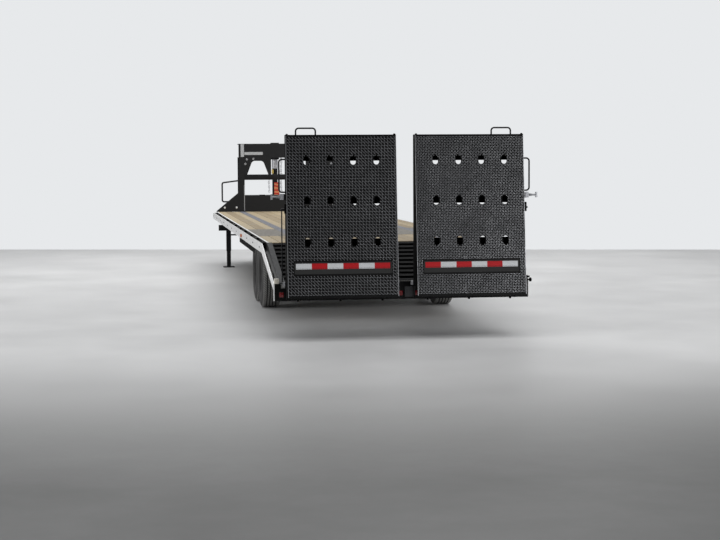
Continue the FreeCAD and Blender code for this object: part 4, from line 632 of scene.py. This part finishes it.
columns = int(ramp_width / LUG_PITCH / 2)
rows = int(ramp_length / LUG_PITCH / 2)
for side in ("left", "right"):
    first = (-(columns - 0.5) * LUG_PITCH, LUG_PITCH, TREAD + LUG_HIGH / 2)
    slant = math.radians(45)
    cell = joined("lugs", [lug(0, 0, slant), lug(LUG_PITCH, 0, -slant), lug(0, LUG_PITCH, -slant),
                           lug(LUG_PITCH, LUG_PITCH, slant)])
    cell.location = first
    settle(cell, "lugs")
    apply(cell, "ARRAY", count=columns, use_relative_offset=False, use_constant_offset=True,
          constant_offset_displace=(2 * LUG_PITCH, 0, 0))
    apply(cell, "ARRAY", count=rows, use_relative_offset=False, use_constant_offset=True,
          constant_offset_displace=(0, 2 * LUG_PITCH, 0))
    faces = cell.data.polygons
    for at in range(0, len(faces), 7):
        group = [faces[i] for i in range(at, at + 7)]
        middle = sum((face.center for face in group), Vector()) / 7
        keep = clear_of_openings(middle.x, middle.y)
        for face in group:
            face.select = not keep
    bpy.ops.object.mode_set(mode="EDIT")
    bpy.ops.mesh.delete(type="FACE")
    bpy.ops.object.mode_set(mode="OBJECT")
    # the plate's long edges rub bright, and are drawn with the lugs' pale coat
    rims = [block("rim", (x, 0.01, TREAD - 0.001), (x + 0.006, ramp_length - 0.01, TREAD + 0.0006), 0)
            for x in (-ramp_width / 2, ramp_width / 2 - 0.006)]
    cell = joined("lugs", [cell] + rims)
    mount(on_tread(cell, "ramp_%s_tread_lugs" % side, side), "ramp_" + side, lug_glint_coat, "black_tread_plate")

# Ramp rungs: the upright leg of each angle bar, as tall as it shows through the plate's holes, and
# rounded ears on the top corners for the tie chains.
RUNG_FIRST = 0.7256
RUNG_PITCH = 0.212
LEG = (-0.031, 0.049)
HINGE_Y = -7.4235
HINGE_Z = 0.5406
LATCH_Y = -7.512
LATCH_Z = HINGE_Z + 0.866
for side, sign in (("left", -1), ("right", 1)):
    low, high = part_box("ramp_%s_frame" % side)
    legs = []
    for i in range(6):
        z = RUNG_FIRST + i * RUNG_PITCH
        legs.append(block("leg", (low[0] + 0.008, HINGE_Y - 0.005, z + LEG[0]),
                          (high[0] - 0.008, HINGE_Y, z + LEG[1]), 0.002))
    for x in (low[0] + 0.014, high[0] - 0.014):
        legs.append(block("ear", (x - 0.012, HINGE_Y - 0.105, high[2] - 0.05),
                          (x + 0.012, HINGE_Y - 0.085, high[2] + 0.011), 0.009, 4))
    for share in (0.09, 0.47, 0.85):
        x = low[0] + share * (high[0] - low[0])
        legs.append(block("toe", (x - 0.01, low[1] + 0.004, low[2] - 0.012),
                          (x + 0.01, low[1] + 0.024, low[2] + 0.012), 0.004, 2))
    outer = high[0] if sign > 0 else low[0]
    legs.append(block("catch_plate", (outer, -7.6, 1.245), (outer + sign * 0.022, -7.575, 1.338), 0.004))
    mount(joined("ramp_%s_rung_legs" % side, legs), "ramp_" + side, matt_coat, "black_powder_coat")
    taper = shape(bpy.ops.mesh.primitive_cone_add, "taper", vertices=20, radius1=0.014, radius2=0.005,
                  depth=0.1, rotation=(0, sign * math.pi / 2, 0),
                  location=(outer + sign * 0.088, LATCH_Y, LATCH_Z))
    pieces = [taper]
    for i in range(5):
        pieces.append(shape(bpy.ops.mesh.primitive_torus_add, "coil", major_segments=20, minor_segments=6,
                            major_radius=0.0155 - 0.0012 * i, minor_radius=0.0022,
                            rotation=(0, math.pi / 2, 0),
                            location=(outer + sign * (0.046 + 0.012 * i), LATCH_Y, LATCH_Z)))
    latch = smooth(joined("ramp_%s_latch_spring" % side, pieces))
    mount(latch, "ramp_" + side, worn_zinc, "bare_steel")

# Ramp lock: a black pull knob on a short plate, bolted low on the right ramp's outer rib.
plate = block("plate", (outer - 0.004, -7.612, 0.53), (outer + 0.03, -7.6, 0.612), 0.003)
knob = turned("knob", (outer + 0.052, -7.606, 0.566), [(-0.03, 0.0), (-0.03, 0.008), (-0.006, 0.008),
              (-0.004, 0.018), (0.004, 0.021), (0.014, 0.019), (0.018, 0.012), (0.019, 0.0)], 24)
tip = block("tip", (outer + 0.03, -7.616, 0.588), (outer + 0.05, -7.6, 0.606), 0.004, 3)
mount(smooth(joined("ramp_right_lock_knob", [plate, knob, tip])), "ramp_right", matt_coat,
      "black_powder_coat")

# Hinge pins: 30 mm bright pins through the lugs, each held by a washer and a castle nut.
lug_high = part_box("ramp_hinge_lugs")[1]
nuts = []
for sign in (-1, 1):
    for x, turn in ((lug_high[0], 1), (0.088, -1)):
        at = (sign * (x + turn * 0.002), HINGE_Y, HINGE_Z)
        nuts.append(shape(bpy.ops.mesh.primitive_cylinder_add, "washer", vertices=28, radius=0.026,
                          depth=0.004, rotation=(0, math.pi / 2, 0), location=at))
        nuts.append(shape(bpy.ops.mesh.primitive_cylinder_add, "nut", vertices=6, radius=0.024, depth=0.018,
                          rotation=(0, math.pi / 2, 0),
                          location=(sign * (x + turn * 0.013), HINGE_Y, HINGE_Z)))
mount(joined("hinge_pin_nuts", nuts), "chassis", worn_zinc, "bare_steel")

# Reflective tape: six strips of microprism film, white and red in turn, stuck on the panel behind
# the window. The film's honeycomb is drawn at 6 mm so that it shows.
TAPE_ACROSS = 0.928
TAPE_UP = (0.284, 0.340)
STRIPS = 6


def film(name, field, cell_wall):
    material, shader, place = start(name, Roughness=0.4, IOR=1.5, Specular_IOR_Level=0.2)
    comb = add(material, "TexVoronoi", {"Vector": place, "Scale": 160, "Randomness": 0.15},
               feature="DISTANCE_TO_EDGE")
    wall = add(material, "MapRange", {0: comb.outputs["Distance"], 1: 0.02, 2: 0.08, 3: 1,
                                      4: 0}).outputs[0]
    tone = add(material, "Mix", {0: wall, 6: linear(field), 7: linear(cell_wall)},
               data_type="RGBA").outputs[2]
    feed(material, shader, Base_Color=tone)
    return material


# Black rubber strips round the window and a black rubber sheet on the panel below the tape are painted shade,
# standing in for the shadow in the recessed window.
for side in ("left", "right"):
    half = ramp_width / 2 - WINDOW_MARGIN
    low_y, high_y = WINDOW_UP
    shade_strips = [block("shade_strips", (-half, high_y - 0.009, 0), (half, high_y, 0.004), 0.001),
            block("shade_strips", (-half, low_y, 0), (half, low_y + 0.007, 0.004), 0.001),
            block("shade_strips", (-half, low_y, 0), (-half + 0.012, high_y, 0.004), 0.001),
            block("shade_strips", (half - 0.012, low_y, 0), (half, high_y, 0.004), 0.001),
            block("shade_strips", (-half, low_y, -0.0002), (half, TAPE_UP[0] - 0.001, 0.0015), 0.0005)]
    mount(on_tread(joined("shade_strips", shade_strips), "ramp_%s_window_seal" % side, side), "ramp_" + side, rubber,
          "tyre_rubber")
white_film = film("white_reflective_film", "d6d8da", "a6a8ab")
red_film = film("red_reflective_film", "bb0312", "85040f")
PANEL = -0.0003
FILM = 0.0006
for side, first in (("left", 0), ("right", 1)):
    strips = {0: [], 1: []}
    width = TAPE_ACROSS / STRIPS
    for i in range(STRIPS):
        x = -TAPE_ACROSS / 2 + i * width
        strip = block("strip", (x, TAPE_UP[0], PANEL), (x + width, TAPE_UP[1], PANEL + FILM), 0)
        strips[(i + first) % 2].append(strip)
    for kind, material, name in ((0, white_film, "white"), (1, red_film, "red")):
        tape = on_tread(joined("tape", strips[kind]), "ramp_%s_tape_%s" % (side, name), side)
        mount(tape, "ramp_" + side, material, "white_rail_paint" if kind == 0 else "red_lens")

# Gooseneck marks: L shaped strips of greyed white film on the neck's upper corners.
dull_film = film("greyed_white_film", "b9bbbd", "9a9c9f")
neck_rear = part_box("neck_cross_beam")[0][1]
neck_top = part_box("neck_beams")[1][2]
for side, sign in (("left", -1), ("right", 1)):
    upright = block("upright", (sign * 0.76, neck_rear - FILM, 1.81),
                    (sign * 0.816, neck_rear, neck_top - 0.004), 0)
    level = block("level", (sign * 0.439, neck_rear - FILM, 1.843), (sign * 0.753, neck_rear, 1.892), 0)
    mount(joined("neck_tape_" + side, [upright, level]), "chassis", dull_film, "white_rail_paint")

# Riser edges: a strip of bare steel colour on the inner edge of each riser, a painted highlight standing in for the
# light that the flange's edge catches.
riser_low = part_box("neck_risers")[0]
inner_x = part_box("toolbox")[1][0]
edges = [block("edge", (sign * (inner_x - 0.001), riser_low[1] - 0.0006, 0.89),
               (sign * (inner_x + 0.012), riser_low[1] + 0.002, 1.33), 0) for sign in (-1, 1)]
mount(joined("riser_painted_edge_highlights", edges), "chassis", worn_zinc, "bare_steel")

# Neck bracing: plasma cut plates with a slanted arch, welded between the risers and a square bar
# that ties them, with bolts through the corners for the winch track.
bar_low, arch_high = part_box("neck_arch")
BAR_HIGH = 0.092
ARCH_PLATE = 0.012
ARCH_FOOT = 0.385
ARCH_TOP = 0.185
ARCH_HIGH = 0.232
ARCH_MARGIN = 0.034
REACH = 0.455
arches = [block("tie_bar", (bar_low[0], bar_low[1], bar_low[2]),
                (arch_high[0], arch_high[1], bar_low[2] + BAR_HIGH), 0.004)]
for sign in (-1, 1):
    outer = sign * arch_high[0]
    inner = sign * (arch_high[0] - REACH)
    panel = block("panel", (outer, bar_low[1], bar_low[2] + BAR_HIGH - 0.002),
                  (inner, bar_low[1] + ARCH_PLATE, arch_high[2]), 0)
    middle = sign * (arch_high[0] - ARCH_MARGIN - ARCH_FOOT / 2)
    foot_z = bar_low[2] + BAR_HIGH
    cutter = block("cutter", (middle - ARCH_FOOT / 2, bar_low[1] - 0.05, foot_z - 0.03),
                   (middle + ARCH_FOOT / 2, bar_low[1] + 0.05, foot_z + ARCH_HIGH), 0)
    for vertex in cutter.data.vertices:
        if vertex.co.z > foot_z:
            vertex.co.x = middle + (vertex.co.x - middle) * ARCH_TOP / ARCH_FOOT
    apply(cutter, "BEVEL", width=0.045, segments=8, limit_method="ANGLE", angle_limit=math.radians(50))
    apply(panel, "BOOLEAN", object=cutter, operation="DIFFERENCE", solver="EXACT")
    bpy.data.objects.remove(cutter)
    arches.append(panel)
mount(smooth(joined("neck_arch_plates", arches), 30), "chassis", black_coat, "black_powder_coat",
      "neck_arch")
bolts = []
for sign in (-1, 1):
    for x, z in ((0.713, 1.768), (0.602, 1.775), (0.737, 1.69)):
        bolts.append(shape(bpy.ops.mesh.primitive_cylinder_add, "bolt", vertices=6, radius=0.015,
                           depth=0.012, rotation=(math.pi / 2, 0, 0),
                           location=(sign * x, bar_low[1] - 0.006, z)))
        bolts.append(shape(bpy.ops.mesh.primitive_cylinder_add, "washer", vertices=20, radius=0.019,
                           depth=0.003, rotation=(math.pi / 2, 0, 0),
                           location=(sign * x, bar_low[1] - 0.0015, z)))
mount(joined("neck_bolts", bolts), "chassis", worn_zinc, "bare_steel")

# Coupler: zinc plated inner tube that slides in the neck's sleeve, with a latch rod beside it.
bright_zinc, shader, place = start("bright_zinc_plate", Metallic=0.85)
cloud = add(bright_zinc, "TexNoise", {"Vector": place, "Scale": 30, "Detail": 6}).outputs["Fac"]
tone = add(bright_zinc, "Mix", {0: cloud, 6: linear("b9b9bd"), 7: linear("e9e9ec")},
           data_type="RGBA").outputs[2]
gloss = add(bright_zinc, "MapRange", {0: cloud, 3: 0.25, 4: 0.42}).outputs[0]
feed(bright_zinc, shader, Base_Color=tone, Roughness=gloss)
tube_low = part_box("coupler_tube")[0]
sleeve_low, sleeve_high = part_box("coupler_sleeve")
coupler_y = tube_low[1] + 0.068
COLLAR = 0.054
SLEEVE_END = 1.762
collar = shape(bpy.ops.mesh.primitive_cylinder_add, "coupler_tube_sleeve", vertices=48, radius=COLLAR,
               depth=0.2, location=(0, coupler_y, SLEEVE_END - 0.07))
apply(collar, "BEVEL", width=0.003, segments=2, limit_method="ANGLE", angle_limit=math.radians(50))
mount(smooth(collar), "chassis", bright_zinc, "bare_steel")
latch_rod = shape(bpy.ops.mesh.primitive_cylinder_add, "coupler_latch_rod", vertices=16, radius=0.006,
                  depth=0.56, location=(0.086, tube_low[1] + 0.005, 1.28))
apply(latch_rod, "BEVEL", width=0.002, segments=2, limit_method="ANGLE", angle_limit=math.radians(50))
mount(smooth(latch_rod), "chassis", bright_zinc, "bare_steel")
half_side = sleeve_high[0] - 0.085
sleeve = [block("sleeve", (-half_side, sleeve_high[1] - 2 * half_side - 0.006, SLEEVE_END),
                (half_side, sleeve_high[1] - 0.006, sleeve_high[2]), 0.006, 3),
          block("nose", (sleeve_low[0], sleeve_low[1], 1.797),
                (sleeve_high[0], sleeve_low[1] + 0.012, 2.029), 0.002)]
for x in (-0.045, 0.045):
    for z in (1.85, 1.95):
        sleeve.append(shape(bpy.ops.mesh.primitive_cylinder_add, "clamp_bolt", vertices=6, radius=0.017,
                            depth=0.012, rotation=(math.pi / 2, 0, 0),
                            location=(x, sleeve_high[1] - 0.006, z)))
mount(joined("coupler_sleeve_welded", sleeve), "chassis", black_coat, "black_powder_coat", "coupler_sleeve")
dress(black_coat, "coupler_tube")

# Safety chains: zinc plated welded links of 8 mm wire that hang from eyes under the neck, every
# other link turned through a right angle.
CHAIN_X = 0.115
LINK_STEP = 0.039
links = []
for sign in (-1, 1):
    for i in range(17):
        link = shape(bpy.ops.mesh.primitive_torus_add, "link", major_segments=16, minor_segments=6,
                     major_radius=0.017, minor_radius=0.0048, rotation=(math.pi / 2, 0, 0),
                     location=(0, 0, 0))
        link.scale = (0.8, 1, 1.5)
        link.rotation_euler = (0, 0, math.pi / 2 * (i % 2))
        # the chain swings a little out of plumb
        link.location = (sign * CHAIN_X + 0.004 * math.sin(i * 0.9), tube_low[1] + 0.015,
                         sleeve_low[2] + 0.16 - LINK_STEP * i)
        links.append(settle(link, "link"))
mount(smooth(joined("safety_chain_links", links)), "chassis", bright_zinc, "bare_steel", "safety_chains")

# Tag: a blank red and orange strip of woven nylon webbing that hangs from the neck by a cord eye.
webbing, shader, place = start("woven_nylon_tag", Roughness=0.7)
bands = add(webbing, "TexWave", {"Vector": place, "Scale": 5, "Distortion": 5, "Detail": 3},
            bands_direction="Z")
tone = add(webbing, "Mix", {0: bands.outputs["Fac"], 6: linear("b80a06"), 7: linear("dd8f5e")},
           data_type="RGBA").outputs[2]
weave = add(webbing, "TexWave", {"Vector": place, "Scale": 150}, bands_direction="DIAGONAL")
relief = add(webbing, "Bump", {"Height": weave.outputs["Fac"], "Strength": 0.5,
                               "Distance": 0.001}).outputs[0]
feed(webbing, shader, Base_Color=tone, Normal=relief)
TAG = (-0.02, 0.075, 1.055, 1.335)
tag = block("coupler_tag", (TAG[0], tube_low[1] - 0.012, TAG[2]), (TAG[1], tube_low[1] - 0.008, TAG[3]),
            0.0015)
mount(tag, "chassis", webbing, "red_lens")

# Coupler lock grip: a moulded handle of yellow vinyl on the latch plate under the sleeve.
vinyl, shader, place = start("yellow_vinyl_grip", Roughness=0.45, IOR=1.5)
scuff = add(vinyl, "TexNoise", {"Vector": place, "Scale": 60, "Detail": 4}).outputs["Fac"]
tone = add(vinyl, "Mix", {0: scuff, 6: linear("b89a3e"), 7: linear("dcc46c")},
           data_type="RGBA").outputs[2]
feed(vinyl, shader, Base_Color=tone)
grip = block("coupler_lock_grip", (-0.066, tube_low[1] - 0.03, 1.495), (-0.03, tube_low[1] + 0.006, 1.575),
             0.012, 4)
mount(smooth(grip), "chassis", vinyl, "white_rail_paint")

# Clearance lamps: round, pale, frosted lenses in the wing plates, each in a rubber grommet.
frosted, shader, place = start("frosted_clear_lens", Roughness=0.35, IOR=1.49)
rings = add(frosted, "TexNoise", {"Vector": place, "Scale": 120, "Detail": 2}).outputs["Fac"]
tone = add(frosted, "Mix", {0: rings, 6: linear("dfe1e0"), 7: linear("f6f6f4")},
           data_type="RGBA").outputs[2]
feed(frosted, shader, Base_Color=tone)
wing_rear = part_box("wing_plates")[0][1]
lenses = []
collars = []
for sign in (-1, 1):
    for x in (0.893, 1.096):
        spot = (sign * x, wing_rear, 0.946)
        lenses.append(shape(bpy.ops.mesh.primitive_uv_sphere_add, "lens", segments=24, ring_count=12,
                            radius=0.017, location=spot, scale=(1, 0.45, 1)))
        collars.append(shape(bpy.ops.mesh.primitive_torus_add, "collar", major_segments=24,
                             minor_segments=8, major_radius=0.0185, minor_radius=0.0035,
                             rotation=(math.pi / 2, 0, 0), location=spot))
mount(smooth(joined("clearance_lamps", lenses)), "chassis", frosted, "white_rail_paint")
mount(smooth(joined("clearance_lamp_grommets", collars)), "chassis", rubber, "tyre_rubber")

# Floor: poured concrete of a studio, sealed and a little glossy, which ends at a white wall.
FLOOR_EDGE = (1.726, 8.52)
FLOOR_TURN = -13.945
FLOOR_DEEP = 70
edge_turn = math.radians(FLOOR_TURN)
bpy.ops.mesh.primitive_plane_add(
    size=1, rotation=(0, 0, edge_turn), location=(FLOOR_EDGE[0] + math.sin(edge_turn) * FLOOR_DEEP / 2,
                                                  FLOOR_EDGE[1] - math.cos(edge_turn) * FLOOR_DEEP / 2, 0))
floor = bpy.context.object
floor.scale = (160, FLOOR_DEEP, 1)
settle(floor, "studio_floor")
concrete, shader, place = start("sealed_pale_concrete", IOR=1.45, Specular_IOR_Level=0.35)
marks = add(concrete, "TexNoise", {"Vector": place, "Scale": 0.55, "Detail": 9,
                                   "Roughness": 0.62}).outputs["Fac"]
tone = add(concrete, "Mix", {0: marks, 6: linear("c6c6c6"), 7: linear("eaeaea")},
           data_type="RGBA").outputs[2]
# painted shade: the slab is coloured darker behind the trailer, from 8 m to 15 m back, standing in for the falloff
# at the edge of the softboxes' light
parts = add(concrete, "SeparateXYZ", {0: place})
wear_and_painted_light = add(concrete, "MapRange", {0: parts.outputs["Y"], 1: -7.8, 2: -15.2},
           interpolation_type="SMOOTHSTEP")
floor_with_painted_shade = add(concrete, "Mix", {0: wear_and_painted_light.outputs[0], 6: tone, 7: linear("636362")},
           data_type="RGBA").outputs[2]
gloss = add(concrete, "MapRange", {0: marks, 1: 0.3, 2: 0.7, 3: 0.36, 4: 0.52}).outputs[0]
feed(concrete, shader, Base_Color=floor_with_painted_shade, Roughness=gloss)
floor.data.materials.append(concrete)

# Camera: a long lens at eye height behind the trailer's left corner.
CAMERA_AT = (-2.6853, -23.9259, 1.7838)
YAW = 7.738
PITCH = 3.816
ROLL = -0.339
LENS = 84.15
camera = bpy.data.objects.new("camera", bpy.data.cameras.new("camera"))
bpy.context.scene.collection.objects.link(camera)
camera.location = CAMERA_AT
camera.rotation_euler = (math.radians(90 - PITCH), 0, math.radians(-YAW))
camera.rotation_euler.rotate_axis("Z", math.radians(ROLL))
camera.data.lens = LENS
camera.data.clip_end = 500
bpy.context.scene.camera = camera

# Light: a white wall seen by the camera, a soft even sky from it, a large softbox overhead and a
# panel on either side.
world = bpy.data.worlds.new("studio")
bpy.context.scene.world = world
world.use_nodes = True
world.node_tree.nodes.clear()
wall = add(world, "Background", {"Color": linear("e7e9eb"), "Strength": 1})
soft = add(world, "Background", {"Color": linear("e7e9eb"), "Strength": 0.4})
path = add(world, "LightPath")
shown = add(world, "MixShader", {0: path.outputs["Is Camera Ray"], 1: soft.outputs[0],
                                 2: wall.outputs[0]})
add(world, "OutputWorld", {0: shown.outputs[0]})
SOFTBOXES = (("front_softbox", (0, 4, 8.5), (14, 12), 1050, (0, 0, 0)),
             ("rear_softbox", (5, -11, 7.5), (14, 8), 480, (0, 0, 0)),
             ("left_panel", (-13, -7, 4.5), (7, 4), 380, (70, 0, -90)),
             ("right_panel", (9, -31, 3.4), (7, 4), 760, (86, 0, 20)))
for name, at, size, power, turn in SOFTBOXES:
    lamp = bpy.data.lights.new(name, "AREA")
    lamp.shape = "RECTANGLE"
    lamp.size, lamp.size_y = size
    lamp.energy = power
    stand = bpy.data.objects.new(name, lamp)
    bpy.context.scene.collection.objects.link(stand)
    stand.location = at
    stand.rotation_euler = [math.radians(part) for part in turn]
bpy.context.scene.view_settings.view_transform = "Standard"
